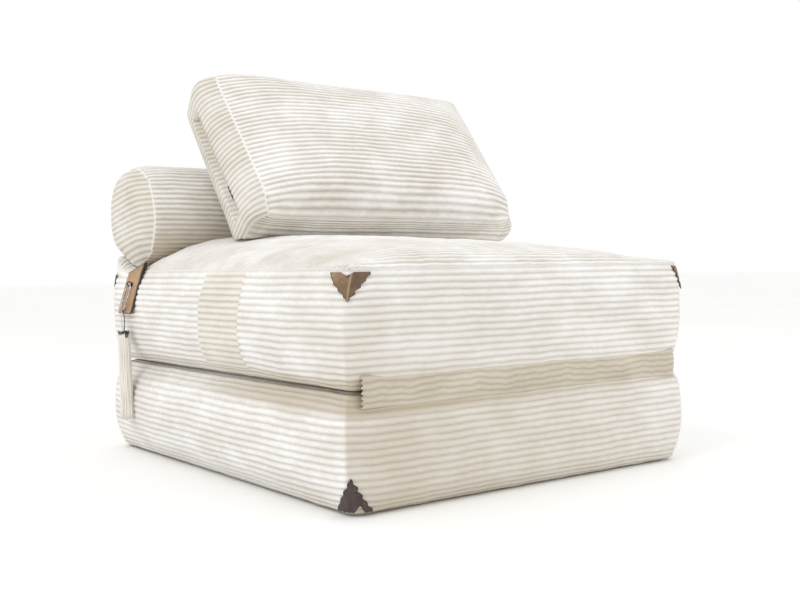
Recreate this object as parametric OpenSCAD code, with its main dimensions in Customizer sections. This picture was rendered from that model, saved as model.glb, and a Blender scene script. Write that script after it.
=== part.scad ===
// Folding sofa bed: two stacked foam sections joined by a fabric band at the front, a back bolster
// on a fabric strip, a loose pillow, and a leather tag with a snap ring and a tassel.
// The origin is the middle of the underside. +X is the sitter's left-to-right as seen from the front,
// +Y runs to the back and +Z is up. All lengths are in millimetres.

/* [Sections] */
// Width of both foam sections at their seams
seat_w = 806; // [600:1:1000]
// Front-to-back length of both foam sections at their seams
seat_l = 970; // [800:1:1100]
// Height of the mating plane between the lower and the upper section
section_h = 202; // [150:1:240]
// Height of the upper section's top seam above the mating plane
seat_rise = 198; // [150:1:230]
// Radius of the upright corners
corner_r = 28; // [20:1:40]
// How far the long sides swell out between their corners
side_bulge = 32; // [10:1:36]
// How far the front faces swell out
front_bulge = 10; // [2:1:20]
// How far the rear faces swell out
rear_bulge = 1; // [0.5:0.5:4]
// Height of the rounded shoulder on each side of the gap between the sections
shoulder_h = 27; // [18:1:32]
// How far the rounded shoulder runs in from the side
shoulder_in = 52; // [36:1:70]

/* [Seat crown] */
// Mean height of the seat's crown above its top seam
crown_h = 60; // [30:1:70]
// How much lower the crown is at the sitter's left than at its mean
crown_fall_x = 12; // [0:1:15]
// How much higher the crown is at the back than at its mean
crown_rise_y = 18; // [0:1:20]
// Height above the seam to which the bolster presses the seat down
pressed_h = 13; // [10:1:18]

/* [Covers and filling] */
// Thickness of the sewn corduroy cover
cover_t = 3; // [2:0.1:4]
// Clearance between one soft layer and the next
layer_gap = 0.3; // [0.2:0.1:0.5]
// How far the cut foam block stands in from the seams
foam_in = 28; // [26:1:40]
// Radius of the foam block's upright corners
foam_r = 24; // [15:1:30]
// Thickness of the non-slip cloth under the lower section
base_t = 1.7; // [1:0.1:3]
// How far the non-slip cloth stands in from the seams
base_in = 26; // [24:1:60]

/* [Fabric hinges] */
// Thickness of the front band and the bolster's strip
band_t = 2.6; // [2:0.1:4]
// Distance from each end of the front band to the side of the section
band_end = 22; // [16:1:40]
// Distance from each end of the bolster's strip to the bolster's end
strip_end = 56; // [54:1:90]
// Room between a face that swells and the same face folded against it
fold_gap = 0.6; // [0.4:0.1:1.5]
// Height of the bolster's fold line above the seat's top seam
bolster_fold_h = 8; // [7:0.5:10]
// Distance of the bolster's fold line behind the seat's rear seam
bolster_fold_y = 8; // [8:0.5:10]

/* [Bolster] */
// Diameter of the bolster
bolster_d = 218; // [160:1:230]
// Length of the bolster over its crowned ends
bolster_len = 806; // [600:1:980]
// Distance from the bolster's back to the seat's rear seam
bolster_back = 1; // [1:1:20]
// How much the bolster's underside is flattened where it rests
bolster_flat = 3; // [2:0.5:8]

/* [Pillow] */
// Width of the pillow between its side seams
pillow_w = 736; // [400:1:740]
// Height of the pillow between its top and bottom seams
pillow_h = 376; // [300:1:420]
// Thickness of the pillow between its front and back seams
pillow_t = 102; // [80:1:140]
// Crown of the pillow's front panel
pillow_front_crown = 46; // [20:1:60]
// Crown of the pillow's back panel
pillow_back_crown = 56; // [20:1:70]
// Angle at which the pillow leans back from upright
pillow_lean = 34.5; // [25:0.5:40]
// Angle by which the pillow is turned on the seat
pillow_turn = 6; // [0:0.5:8]
// Distance from the seat's middle line to the pillow's middle
pillow_shift = 96; // [0:1:110]

/* [Side band] */
// Width of the upright corduroy band on the upper section's left side
side_band_w = 165; // [100:1:200]
// Distance of the band's middle from the section's middle, towards the front
side_band_y = 60; // [0:1:90]
// Thickness of the side band
side_band_t = 1.8; // [1:0.1:3]

/* [Corner patches] */
// Half width of a leather patch along the top seam
patch_w = 44; // [36:1:50]
// Height of a leather patch
patch_h = 46; // [36:1:56]
// Thickness of the patch leather
patch_t = 1.6; // [1:0.1:2.5]
// Depth of the pinked teeth along the patch edges
tooth_d = 1.6; // [0.8:0.1:2]

/* [Tag] */
// Width of the leather tag
tag_w = 76; // [50:1:84]
// Length of the leather tag
tag_len = 112; // [100:1:125]
// Thickness of the tag leather
tag_t = 3.5; // [2.5:0.1:4.5]
// Distance of the tag's middle behind the section's middle
tag_y = 341; // [300:1:350]
// Angle at which the tag stands out from upright
tag_tilt = 17.5; // [17:0.5:22]
// Distance from the tag's fold line to its rivet
rivet_down = 47; // [40:1:56]

/* [Snap ring and tassel] */
// Overall width of the oval snap ring
ring_w = 26; // [22:0.5:30]
// Overall height of the oval snap ring
ring_h = 60; // [56:0.5:64]
// Thickness of the snap ring's wire
ring_wire = 3.6; // [3:0.1:4]
// Length of the cord loop that the tassel hangs on
loop_len = 44; // [30:1:60]
// Length of the tassel's skirt
skirt_len = 185; // [120:1:200]
// Width of the tassel, front to back
skirt_w = 34; // [26:1:40]
// Depth of the tassel, out from the side
skirt_d = 24; // [18:1:25]

/* [Zips] */
// Length of the zip in each section's rear face
section_zip_len = 520; // [300:1:560]
// Length of the bolster's zip
bolster_zip_len = 560; // [300:1:600]
// Length of the pillow's zip
pillow_zip_len = 220; // [180:1:240]
// Width of a zip's tape
zip_w = 22; // [16:1:30]
// Length of a zip's pull tab
pull_len = 24; // [18:1:30]

/* [Hidden] */
$fn = 48;

ivory = "#ece8dc";
shade_ivory = "#d3cab6";
wadding_white = "#f6f6f2";
foam_cream = "#efe2b0";
leather_brown = "#7d6048";
leather_tan = "#c4a27e";
zip_grey = "#55504a";

// Corner and side steps of a section's outline, and the fourth-power swell between corners
corner_steps = 3;
side_steps = 6;
function swell(t) = 1 - pow(t, 4);
function dome(t) = pow(max(0, 1 - pow(abs(t), 4)), 0.7);

half_w = seat_w / 2;
half_l = seat_l / 2;
top_seam = section_h + seat_rise;
sheet_gap = 0.3;

// Outline and rings of a padded form

// One ring: its insets at the sides, front and rear, its swell share and its shrink for inner layers
function ring_xy(hw, hl, rc, inset, swells, share, shrink) =
  let (
    x_max = hw - inset[0] - shrink,
    y_min = -hl + inset[1] + shrink,
    y_max = hl - inset[2] - shrink,
    r = max(rc - inset[0] - shrink, 2),
    centres = [
      [x_max - r, y_min + r], [x_max - r, y_max - r],
      [-x_max + r, y_max - r], [-x_max + r, y_min + r]
    ]
  )
  [for (c = [0 : 3])
    let (
      a_end = 90 * c,
      next = (c + 1) % 4,
      out = [cos(a_end), sin(a_end)],
      from = centres[c] + r * out,
      to = centres[next] + r * out
    )
    each concat(
      [for (k = [0 : corner_steps])
        let (a = a_end - 90 + 90 * k / corner_steps) centres[c] + r * [cos(a), sin(a)]],
      [for (k = [1 : side_steps - 1])
        let (f = k / side_steps)
        from + (to - from) * f + out * swells[c] * share * swell(2 * f - 1)]
    )
  ];

ring_n = 4 * (corner_steps + side_steps);

// Triangles that close a stack of equal rings, with a middle point below the first and above the last.
// A quad is cut along its other diagonal where that one is clearly shorter.
function stack_faces(points, n, rings) =
  let (low = n * rings, high = low + 1)
  concat(
    [for (i = [0 : n - 1]) [low, i, (i + 1) % n]],
    [for (k = [0 : rings - 2]) for (i = [0 : n - 1])
      let (a = k * n + i, b = k * n + (i + 1) % n)
      each norm(points[a] - points[b + n]) < 0.85 * norm(points[b] - points[a + n])
        ? [[a, a + n, b + n], [a, b + n, b]]
        : [[a, a + n, b], [b, a + n, b + n]]],
    [for (i = [0 : n - 1]) [high, (rings - 1) * n + (i + 1) % n, (rings - 1) * n + i]]
  );

// A padded form: each row is [insets, height, swell share, shrink direction, crown share].
// The crown is a function of x, y and the half sizes.
module padded_form(hw, hl, rc, rows, swells, crown, shrink) {
  points = [for (row = rows)
    for (p = ring_xy(hw, hl, rc, row[0], swells, row[2], shrink))
      [p.x, p.y, row[1] + row[3] * shrink + row[4] * crown(p.x, p.y, hw - shrink, hl - shrink)]];
  first = rows[0];
  last = rows[len(rows) - 1];
  low_z = first[1] + first[3] * shrink + first[4] * crown(0, 0, hw - shrink, hl - shrink);
  high_z = last[1] + last[3] * shrink + last[4] * crown(0, 0, hw - shrink, hl - shrink);
  polyhedron(
    points = concat(points, [[0, 0, low_z], [0, 0, high_z]]),
    faces = stack_faces(points, ring_n, len(rows)),
    convexity = 6
  );
}

// A block with rounded upright corners, as foam is cut
module rounded_block(w, l, h, r) {
  linear_extrude(h) rounded_rect(w, l, r);
}

module rounded_rect(w, l, r) {
  square([w, l - 2 * r], center = true);
  square([w - 2 * r, l], center = true);
  for (sx = [-1, 1], sy = [-1, 1])
    translate([sx * (w / 2 - r), sy * (l / 2 - r)]) circle(r);
}

// A thin sheet between two grids of points that face each other
module sheet(outer, inner) {
  rows = len(outer);
  cols = len(outer[0]);
  n = rows * cols;
  grid = [for (j = [0 : rows - 2]) for (i = [0 : cols - 2]) j * cols + i];
  rim = concat(
    [for (i = [0 : cols - 1]) i],
    [for (j = [1 : rows - 1]) j * cols + cols - 1],
    [for (i = [cols - 2 : -1 : 0]) (rows - 1) * cols + i],
    [for (j = [rows - 2 : -1 : 1]) j * cols]
  );
  polyhedron(
    points = concat([for (row = outer) each row], [for (row = inner) each row]),
    faces = concat(
      [for (a = grid) each [[a, a + 1, a + cols], [a + 1, a + cols + 1, a + cols]]],
      [for (a = grid) each [[n + a, n + a + cols, n + a + 1], [n + a + 1, n + a + cols, n + a + cols + 1]]],
      [for (k = [0 : len(rim) - 1])
        let (a = rim[k], b = rim[(k + 1) % len(rim)]) each [[a, n + a, b], [b, n + a, n + b]]]
    ),
    convexity = 4
  );
}

// Shape of the two sections

wall_steps = [0.2, 0.45, 0.7, 0.88];
side_swells = [side_bulge, rear_bulge, side_bulge, front_bulge];

lower_floor = base_t + sheet_gap;
lower_low_seam = lower_floor + 22;
lower_top_seam = section_h - shoulder_h;
upper_floor = section_h + sheet_gap;
upper_low_seam = upper_floor + shoulder_h;

function even(d) = [d, d, d];

function wall_rows(low, high) = concat(
  [[even(0), low, 0, 1, 0]],
  [for (f = wall_steps) [even(0), low + (high - low) * f, sin(180 * f), 0, 0]],
  [[even(0), high, 0, -1, 0]]
);

lower_rows = concat(
  [[even(24), lower_floor, 0, 1, 0], [even(8), lower_floor + 4, 0, 1, 0]],
  wall_rows(lower_low_seam, lower_top_seam),
  [
    [even(shoulder_in * 0.17), section_h - shoulder_h * 0.48, 0, -1, 0],
    [even(shoulder_in * 0.5), section_h - shoulder_h * 0.13, 0, -1, 0],
    [even(shoulder_in), section_h, 0, -1, 0]
  ]
);

bolster_r = bolster_d / 2;
bolster_y = half_l - bolster_back - bolster_r;
bolster_z = top_seam + pressed_h + sheet_gap + bolster_r - bolster_flat;
bolster_front = bolster_y - bolster_r;

// Height of the seat above its top seam: a dome that leans, pressed flat under the bolster
seat_crown = function (x, y, hw, hl)
  let (
    free = (crown_h - crown_fall_x * x / hw + crown_rise_y * y / hl) * dome(x / hw) * dome(y / hl)
  )
  y > bolster_front ? min(free, pressed_h) : free;

rear_pressed = half_l - bolster_front - 20;
rear_free = half_l - bolster_front + 24;

upper_rows = concat(
  [
    [even(shoulder_in), upper_floor, 0, 1, 0],
    [even(shoulder_in * 0.5), upper_floor + shoulder_h * 0.13, 0, 1, 0],
    [even(shoulder_in * 0.17), upper_floor + shoulder_h * 0.48, 0, 1, 0]
  ],
  wall_rows(upper_low_seam, top_seam),
  [
    [even(9), top_seam, 0, -1, 1],
    [even(30), top_seam, 0, -1, 1],
    [[80, 80, rear_pressed], top_seam, 0, -1, 1],
    [[180, 180, rear_free], top_seam, 0, -1, 1]
  ]
);

module lower_form(shrink) {
  padded_form(half_w, half_l, corner_r, lower_rows, side_swells, function (x, y, hw, hl) 0, shrink);
}

module upper_form(shrink) {
  padded_form(half_w, half_l, corner_r, upper_rows, side_swells, seat_crown, shrink);
}

module lower_slab(grow) {
  low = lower_floor + cover_t + 10;
  high = section_h - shoulder_h * 0.3 - cover_t - 6;
  translate([0, 0, low - grow])
    rounded_block(
      seat_w - 2 * (foam_in - grow), seat_l - 2 * (foam_in - grow), high - low + 2 * grow, foam_r
    );
}

module upper_slab(grow) {
  low = upper_floor + shoulder_h * 0.3 + cover_t + 4;
  high = top_seam - cover_t - 4;
  translate([0, 0, low - grow])
    rounded_block(
      seat_w - 2 * (foam_in - grow), seat_l - 2 * (foam_in - grow), high - low + 2 * grow, foam_r
    );
}

// Lower section

module lower_cover() {
  color(ivory) difference() {
    lower_form(0);
    lower_form(cover_t);
  }
}

module lower_wadding() {
  color(wadding_white) difference() {
    lower_form(cover_t + layer_gap);
    lower_slab(layer_gap);
  }
}

module lower_foam() {
  color(foam_cream) lower_slab(0);
}

module base_cloth() {
  color(shade_ivory) rounded_block(seat_w - 2 * base_in, seat_l - 2 * base_in, base_t, foam_r);
}

// Upper section

module upper_cover() {
  color(ivory) difference() {
    upper_form(0);
    upper_form(cover_t);
  }
}

module upper_wadding() {
  color(wadding_white) difference() {
    upper_form(cover_t + layer_gap);
    upper_slab(layer_gap);
  }
}

module upper_foam() {
  color(foam_cream) upper_slab(0);
}

// Places on a section's wall, for what is sewn on it

swell_table = [for (k = [0 : side_steps]) let (t = 2 * k / side_steps - 1) [t, swell(t)]];
wall_table = concat([[0, 0]], [for (f = wall_steps) [f, sin(180 * f)]], [[1, 0]]);
function wall_share(z, low, high) = lookup((z - low) / (high - low), wall_table);

// A point on the left wall at height z, out from the surface
function left_wall(y, z, low, high, out) = [
  -half_w - out - side_bulge * lookup(y / (half_l - corner_r), swell_table) * wall_share(z, low, high), y, z
];

// A point on the rear wall at height z, out from the surface
function rear_wall(x, z, low, high, out) = [
  x, half_l + out + rear_bulge * lookup(x / (half_w - corner_r), swell_table) * wall_share(z, low, high), z
];

side_band_seat = 0.9;
side_band_cols = [for (k = [0 : 4]) -side_band_y + side_band_w * (k / 4 - 0.5)];
side_band_levels = [for (f = concat([0.03], wall_steps, [0.97])) upper_low_seam + (top_seam - upper_low_seam) * f];

module side_band() {
  color(ivory) sheet(
    [for (z = side_band_levels) [for (y = side_band_cols)
      left_wall(y, z, upper_low_seam, top_seam, side_band_seat + side_band_t)]],
    [for (z = side_band_levels) [for (y = side_band_cols)
      left_wall(y, z, upper_low_seam, top_seam, side_band_seat)]]
  );
}

// Leather corner patches with pinked edges

patch_rows = 12;
patch_seat = 0.8;
arc_half = corner_r * PI / 4;

// The largest share of the swell in the step of the wall that holds the height z
function step_share(z, low, high) =
  let (f = (z - low) / (high - low))
  max(concat([0], [for (k = [1 : len(wall_table) - 1])
    if (f > wall_table[k - 1][0] && f < wall_table[k][0]) max(wall_table[k - 1][1], wall_table[k][1])]));

// A point near an upright corner: a runs along the walls from the corner's middle, and walls holds the
// swell and the straight half length of the wall on its negative and on its positive side
function corner_point(a, z, low, high, inset, walls, out) =
  let (
    turn = min(max(a / corner_r * 180 / PI, -45), 45),
    past = abs(a) > arc_half ? abs(a) - arc_half : 0,
    side = sign(a),
    wall = walls[a > 0 ? 1 : 0],
    r = corner_r - inset + out,
    rise = wall[0] * lookup(1 - past / wall[1], swell_table) * step_share(z, low, high),
    normal = [cos(turn), sin(turn)],
    base = (r + rise) * normal + past * side * [-sin(turn), cos(turn)]
  )
  [base.x, base.y, z];

function patch_cols(w) =
  let (near = min(arc_half / 3, w * 0.55), mid = min(arc_half, (w + near) / 2))
  [-w, -mid, -near, near, mid, w];

// The patch hangs from z_seam and points up or down, on the corner whose outward direction is +X
module corner_patch(z_seam, up, low, high, insets, walls) {
  levels = [for (j = [0 : patch_rows]) z_seam + up * patch_h * j / patch_rows];
  widths = [for (j = [0 : patch_rows])
    max(3, patch_w * (1 - j / patch_rows) + (j % 2 == 0 ? tooth_d : -tooth_d))];
  grid = function (out)
    [for (j = up > 0 ? [0 : patch_rows] : [patch_rows : -1 : 0])
      [for (a = patch_cols(widths[j]))
        corner_point(a, levels[j], low, high, lookup(levels[j], insets), walls, out)]];
  sheet(grid(patch_seat + patch_t), grid(patch_seat));
}

module on_corner(sx, sy) {
  translate([sx * (half_w - corner_r), sy * (half_l - corner_r), 0])
    rotate([0, 0, atan2(sy, sx)]) children();
}

function corner_walls(sx, sy) =
  let (
    side_wall = [side_bulge, half_l - corner_r],
    end_wall = [sy > 0 ? rear_bulge : front_bulge, half_w - corner_r]
  )
  sx * sy > 0 ? [side_wall, end_wall] : [end_wall, side_wall];

no_inset = [[0, 0], [top_seam, 0]];
lower_insets = [
  [lower_floor, 24], [lower_floor + 4, 8], [lower_low_seam, 0], [top_seam, 0]
];

module upper_corner_patches() {
  color(leather_brown) for (sx = [-1, 1], sy = [-1, 1])
    on_corner(sx, sy)
      corner_patch(top_seam - 0.5, -1, upper_low_seam, top_seam, no_inset, corner_walls(sx, sy));
}

module lower_corner_patch() {
  color(leather_brown) on_corner(-1, -1) corner_patch(
    lower_floor + 10, 1, lower_low_seam, lower_top_seam, lower_insets, corner_walls(-1, -1)
  );
}

// Front band: one strip of fabric, shown as its two halves on each side of the fold line. It is sewn
// along both seams and puffs out to the fold line between them.

fold_y = -half_l - front_bulge - fold_gap;
fold_z = section_h + sheet_gap / 2;
band_half_len = half_w - band_end;
band_puff = front_bulge + fold_gap - 2 * sheet_gap - band_t;
band_cols = [for (k = [0 : 8]) band_half_len * (k / 4 - 1)];

function band_point(x, z, seam_z, out) =
  let (f = (z - seam_z) / (fold_z - seam_z))
  [x, -half_l - sheet_gap - band_puff * swell(x / half_w) * sin(90 * f) - out, z];

module band_leaf(seam_z, levels) {
  color(shade_ivory) sheet(
    [for (z = levels) [for (x = band_cols) band_point(x, z, seam_z, band_t)]],
    [for (z = levels) [for (x = band_cols) band_point(x, z, seam_z, 0)]]
  );
}

module front_band_lower() {
  low = lower_top_seam + 0.4;
  high = fold_z - 0.3;
  band_leaf(lower_top_seam, [for (f = [0, 0.3, 0.6, 1]) low + (high - low) * f]);
}

module front_band_upper() {
  low = fold_z + 0.3;
  high = upper_low_seam - 0.4;
  band_leaf(upper_low_seam, [for (f = [0, 0.4, 0.7, 1]) low + (high - low) * f]);
}

// Zip parts: the tape lies on z = 0 and runs along X

slider_len = 13;
slider_w = 9;
slider_base = 2;
tape_t = 1.2;
teeth_w = 6;
teeth_t = 1.2;
chain_h = tape_t + teeth_t;
pull_w = 7;
pull_t = 1.5;
pull_bar = 1.6;
pull_window = 5.4;
arch_t = 1.4;
arch_leg = 1.6;
arch_half = 4;
slider_z = chain_h + sheet_gap;
pull_axis_h = slider_z + slider_base + 1.6;
arch_under = pull_axis_h + 1.2;

// The slider rides on the chain and has an arch for its pull
module slider_body() {
  translate([-slider_len / 2, -slider_w / 2, slider_z]) cube([slider_len, slider_w, slider_base]);
  translate([-arch_half - arch_leg / 2, -1.2, arch_under]) cube([2 * arch_half + arch_leg, 2.4, arch_t]);
  for (sx = [-1, 1]) translate([sx * arch_half - arch_leg / 2, -1.2, slider_z + slider_base - 0.2])
    cube([arch_leg, 2.4, arch_under - slider_z - slider_base + 0.4]);
}

// The pull is a tab whose end bar lies under the arch, which stands in the tab's window
module pull_tab() {
  translate([0, 0, pull_axis_h - pull_t / 2]) linear_extrude(pull_t) difference() {
    union() {
      translate([-pull_len, -pull_w / 2]) square([pull_len + pull_bar / 2, pull_w]);
      translate([-pull_len, 0]) circle(pull_w / 2);
    }
    translate([-pull_bar / 2 - pull_window, -1.8]) square([pull_window, 3.6]);
    translate([-pull_len, 0]) circle(1.6);
  }
}

// Zips in the rear face of each section

teeth_half = teeth_w / 2;
tape_inner = teeth_half + 0.2;
tape_outer = zip_w / 2;

module rear_zip(z_mid, low, high) {
  xs = [for (k = [0 : 8]) section_zip_len * (k / 8 - 0.5)];
  strip = function (z_from, z_to, out)
    [for (z = [z_mid + z_from, z_mid + z_to]) [for (x = xs) rear_wall(x, z, low, high, out)]];
  seat = sheet_gap + 0.3;
  color(zip_grey) {
    sheet(strip(tape_inner, tape_outer, seat), strip(tape_inner, tape_outer, seat + tape_t));
    sheet(strip(-tape_outer, -tape_inner, seat), strip(-tape_outer, -tape_inner, seat + tape_t));
    sheet(strip(-teeth_half, teeth_half, seat), strip(-teeth_half, teeth_half, seat + chain_h));
  }
}

module at_rear_zip(z_mid) {
  translate([section_zip_len / 2 - slider_len, half_l + rear_bulge + sheet_gap + 0.3, z_mid])
    rotate([-90, 0, 0]) children();
}

lower_zip_z = (lower_low_seam + lower_top_seam) / 2;
upper_zip_z = (upper_low_seam + top_seam) / 2;

module lower_zip() {
  rear_zip(lower_zip_z, lower_low_seam, lower_top_seam);
}

module lower_zip_slider() {
  color(zip_grey) at_rear_zip(lower_zip_z) slider_body();
}

module lower_zip_pull() {
  color(zip_grey) at_rear_zip(lower_zip_z) pull_tab();
}

module upper_zip() {
  rear_zip(upper_zip_z, upper_low_seam, top_seam);
}

module upper_zip_slider() {
  color(zip_grey) at_rear_zip(upper_zip_z) slider_body();
}

module upper_zip_pull() {
  color(zip_grey) at_rear_zip(upper_zip_z) pull_tab();
}

// Bolster: a roll with crowned ends, flattened underneath

bolster_n = 24;
end_crown = 10;
bolster_half = bolster_len / 2 - end_crown;

// Each row is [distance from the end seam, share of the radius]
end_rows = [[end_crown, 0.5], [end_crown * 0.7, 0.8], [0, 0.97], [-12, 1]];

function bolster_ring(x, r, flat_z) = [for (k = [0 : bolster_n - 1])
  let (a = 360 * k / bolster_n) [x, r * cos(a), max(r * sin(a), flat_z)]];

module bolster_form(shrink) {
  rows = concat(
    [for (row = end_rows) [-bolster_half - row[0] + shrink, row[1]]],
    [for (k = [3 : -1 : 0]) [bolster_half + end_rows[k][0] - shrink, end_rows[k][1]]]
  );
  r = bolster_r - shrink;
  flat_z = -bolster_r + bolster_flat + shrink;
  tip = bolster_half + end_crown - shrink;
  points = [for (row = rows) each bolster_ring(row[0], r * row[1], flat_z)];
  translate([0, bolster_y, bolster_z]) polyhedron(
    points = concat(points, [[-tip - 1, 0, 0], [tip + 1, 0, 0]]),
    faces = stack_faces(points, bolster_n, len(rows)),
    convexity = 4
  );
}

module bolster_cover() {
  color(ivory) difference() {
    bolster_form(0);
    bolster_form(cover_t);
  }
}

module bolster_fill() {
  color(wadding_white) bolster_form(cover_t + layer_gap);
}

// The strip that joins the bolster to the seat, shown as its two halves on each side of the fold line

strip_len = min(bolster_len, seat_w) - 2 * strip_end;
bolster_axis_y = half_l + bolster_fold_y;
bolster_axis_z = top_seam + bolster_fold_h;

// A strip along X whose section is given as [y, z] points
module strip_profile(points) {
  color(ivory) rotate([90, 0, 90]) linear_extrude(strip_len, center = true) polygon(points);
}

module bolster_strip() {
  back = bolster_y + bolster_r + sheet_gap;
  edge = bolster_axis_y - sheet_gap;
  strip_profile([
    [edge - band_t, bolster_axis_z + 0.5], [edge, bolster_axis_z + 0.5],
    [back + band_t, bolster_z - 20], [back + band_t, bolster_z + 8],
    [back, bolster_z + 8], [back, bolster_z - 20]
  ]);
}

module seat_strip() {
  edge = bolster_axis_y - sheet_gap;
  seam = half_l + sheet_gap + 0.1;
  strip_profile([
    [seam, top_seam - 8], [seam + band_t, top_seam - 8], [seam + band_t + 0.6, top_seam - 2],
    [edge, bolster_axis_z - 0.5], [edge - band_t, bolster_axis_z - 0.5], [seam, top_seam]
  ]);
}

// The bolster's zip runs along its back, above the strip

bolster_zip_angle = 22.5;

module at_bolster_zip() {
  facet_r = bolster_r * cos(180 / bolster_n) + sheet_gap;
  translate([0, bolster_y, bolster_z]) rotate([bolster_zip_angle - 90, 0, 0])
    translate([0, 0, facet_r]) children();
}

module bolster_zip() {
  color(zip_grey) at_bolster_zip() {
    for (y = [tape_inner, -tape_outer])
      translate([-bolster_zip_len / 2, y, 0]) cube([bolster_zip_len, tape_outer - tape_inner, tape_t]);
    translate([-bolster_zip_len / 2, -teeth_half, 0]) cube([bolster_zip_len, teeth_w, chain_h]);
  }
}

module bolster_zip_slider() {
  color(zip_grey) at_bolster_zip() translate([bolster_zip_len / 2 - slider_len, 0, 0]) slider_body();
}

module bolster_zip_pull() {
  color(zip_grey) at_bolster_zip() translate([bolster_zip_len / 2 - slider_len, 0, 0]) pull_tab();
}

// Pillow: a box cushion, modelled lying on its back and stood up against the bolster

pillow_corner = 22;
pillow_swell = 5;
pillow_dome = function (x, y, hw, hl) swell(x / hw) * swell(y / hl);

pillow_rows = concat(
  [for (d = [120, 70, 30, 8]) [even(d), -pillow_t / 2, 0, 1, -pillow_back_crown]],
  [
    [even(0), -pillow_t / 2, 0, 1, 0], [even(0), 0, 1, 0, 0], [even(0), pillow_t / 2, 0, -1, 0]
  ],
  [for (d = [8, 30, 70, 120]) [even(d), pillow_t / 2, 0, -1, pillow_front_crown]]
);

// The back panel's crown rests on the bolster, and the bottom seam rests on the seat
pillow_seat_z = top_seam + 5 + seat_crown(pillow_shift, 0.2 * half_l, half_w, half_l);
pillow_turned = pillow_w / 2 * 0.42 * sin(pillow_turn);
pillow_rest = bolster_r + pillow_back_crown + 1 + (bolster_z - pillow_seat_z) * sin(pillow_lean);
pillow_back_y = bolster_y - pillow_rest / cos(pillow_lean) - pillow_turned;

module at_pillow() {
  translate([pillow_shift, pillow_back_y, pillow_seat_z])
    rotate([0, 0, pillow_turn]) rotate([-pillow_lean, 0, 0])
    translate([0, -pillow_t / 2, pillow_h / 2]) children();
}

module pillow_form(shrink) {
  rotate([90, 0, 0]) padded_form(
    pillow_w / 2, pillow_h / 2, pillow_corner, pillow_rows,
    [pillow_swell, pillow_swell, pillow_swell, pillow_swell], pillow_dome, shrink
  );
}

module pillow_cover() {
  color(ivory) at_pillow() difference() {
    pillow_form(0);
    pillow_form(cover_t);
  }
}

module pillow_fill() {
  color(wadding_white) at_pillow() pillow_form(cover_t + layer_gap);
}

// The pillow's zip runs up its left side, close to the back seam

zip_from_back = 15;

// A point on the pillow's left side, y forward of its middle plane and z above its middle
function pillow_side(y, z, out) =
  let (share = 1 - abs(y) / (pillow_t / 2))
  [-pillow_w / 2 - out - pillow_swell * lookup(z / (pillow_h / 2 - pillow_corner), swell_table) * share, y, z];

module pillow_zip() {
  zs = [for (k = [0 : 6]) pillow_zip_len * (k / 6 - 0.5)];
  zip_y = pillow_t / 2 - zip_from_back;
  strip = function (y_from, y_to, out)
    [for (y = [zip_y + y_from, zip_y + y_to]) [for (z = zs) pillow_side(y, z, out)]];
  seat = sheet_gap + 0.3;
  color(zip_grey) at_pillow() {
    sheet(strip(tape_inner, tape_outer, seat + tape_t), strip(tape_inner, tape_outer, seat));
    sheet(strip(-tape_outer, -tape_inner, seat + tape_t), strip(-tape_outer, -tape_inner, seat));
    sheet(strip(-teeth_half, teeth_half, seat + chain_h), strip(-teeth_half, teeth_half, seat));
  }
}

module at_pillow_zip() {
  swell_there = pillow_swell * (zip_from_back + teeth_w / 2) / (pillow_t / 2);
  at_pillow() translate([-pillow_w / 2 - sheet_gap - 0.3 - swell_there, pillow_t / 2 - zip_from_back, 0])
    rotate([0, -90, 0]) translate([-pillow_zip_len * 0.3, 0, 0]) children();
}

module pillow_zip_slider() {
  color(zip_grey) at_pillow_zip() slider_body();
}

module pillow_zip_pull() {
  color(zip_grey) at_pillow_zip() pull_tab();
}

// Leather tag: its tail stands up from the seat's side seam at the bolster's end, and it folds over
// at the top, so that the tag hangs down outside

tail_t = 2;
tag_fold_x = -half_w - 2 * sheet_gap - tail_t - tag_t / 2;
tag_fold_z = top_seam + 18;

module tag_tail() {
  color(leather_tan) translate([-half_w - sheet_gap - tail_t, tag_y - tag_w / 2, top_seam])
    cube([tail_t, tag_w, tag_fold_z - top_seam]);
}

module at_tag() {
  translate([tag_fold_x, tag_y, tag_fold_z]) rotate([0, tag_tilt, 0]) children();
}

tag_corner_r = 8;
rivet_shank_r = 2.8;
rivet_flange = 1;
eye_r = 5;
eye_wire = 1.1;
eye_out = tag_t / 2 + rivet_flange + eye_r + 0.2;

module leather_tag() {
  color(leather_tan) at_tag() {
    translate([-tag_t / 2, 0, 0]) rotate([90, 0, 90]) linear_extrude(tag_t) difference() {
      union() {
        translate([-tag_w / 2, -tag_len + tag_corner_r]) square([tag_w, tag_len - tag_corner_r]);
        translate([-tag_w / 2 + tag_corner_r, -tag_len]) square([tag_w - 2 * tag_corner_r, tag_len]);
        for (sy = [-1, 1])
          translate([sy * (tag_w / 2 - tag_corner_r), -tag_len + tag_corner_r]) circle(tag_corner_r);
      }
      translate([0, -rivet_down]) circle(rivet_shank_r + 0.2);
    }
    translate([0, -tag_w / 2, 0]) rotate([-90, 0, 0]) cylinder(r = tag_t / 2, h = tag_w);
  }
}

module wire_ring(r, wire) {
  rotate([90, 0, 0]) rotate_extrude() translate([r, 0]) circle(wire);
}

module tag_rivet() {
  color("silver") at_tag() translate([0, 0, -rivet_down]) {
    translate([-tag_t / 2 - rivet_flange, 0, 0]) rotate([0, 90, 0]) cylinder(r = 5.5, h = rivet_flange);
    translate([-tag_t / 2 - rivet_flange / 2, 0, 0]) rotate([0, 90, 0])
      cylinder(r = rivet_shank_r, h = tag_t + rivet_flange / 2);
    translate([-eye_out, 0, 0]) wire_ring(eye_r, eye_wire);
  }
}

// Snap ring: an oval of wire with a sprung gate in its front side

wire_r = ring_wire / 2;
bow_r = ring_w / 2 - wire_r;
ring_side = ring_h - ring_w;
bow_top = -rivet_down - bow_r;
bow_low = bow_top - ring_side;
gate_gap = 0.8;

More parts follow.
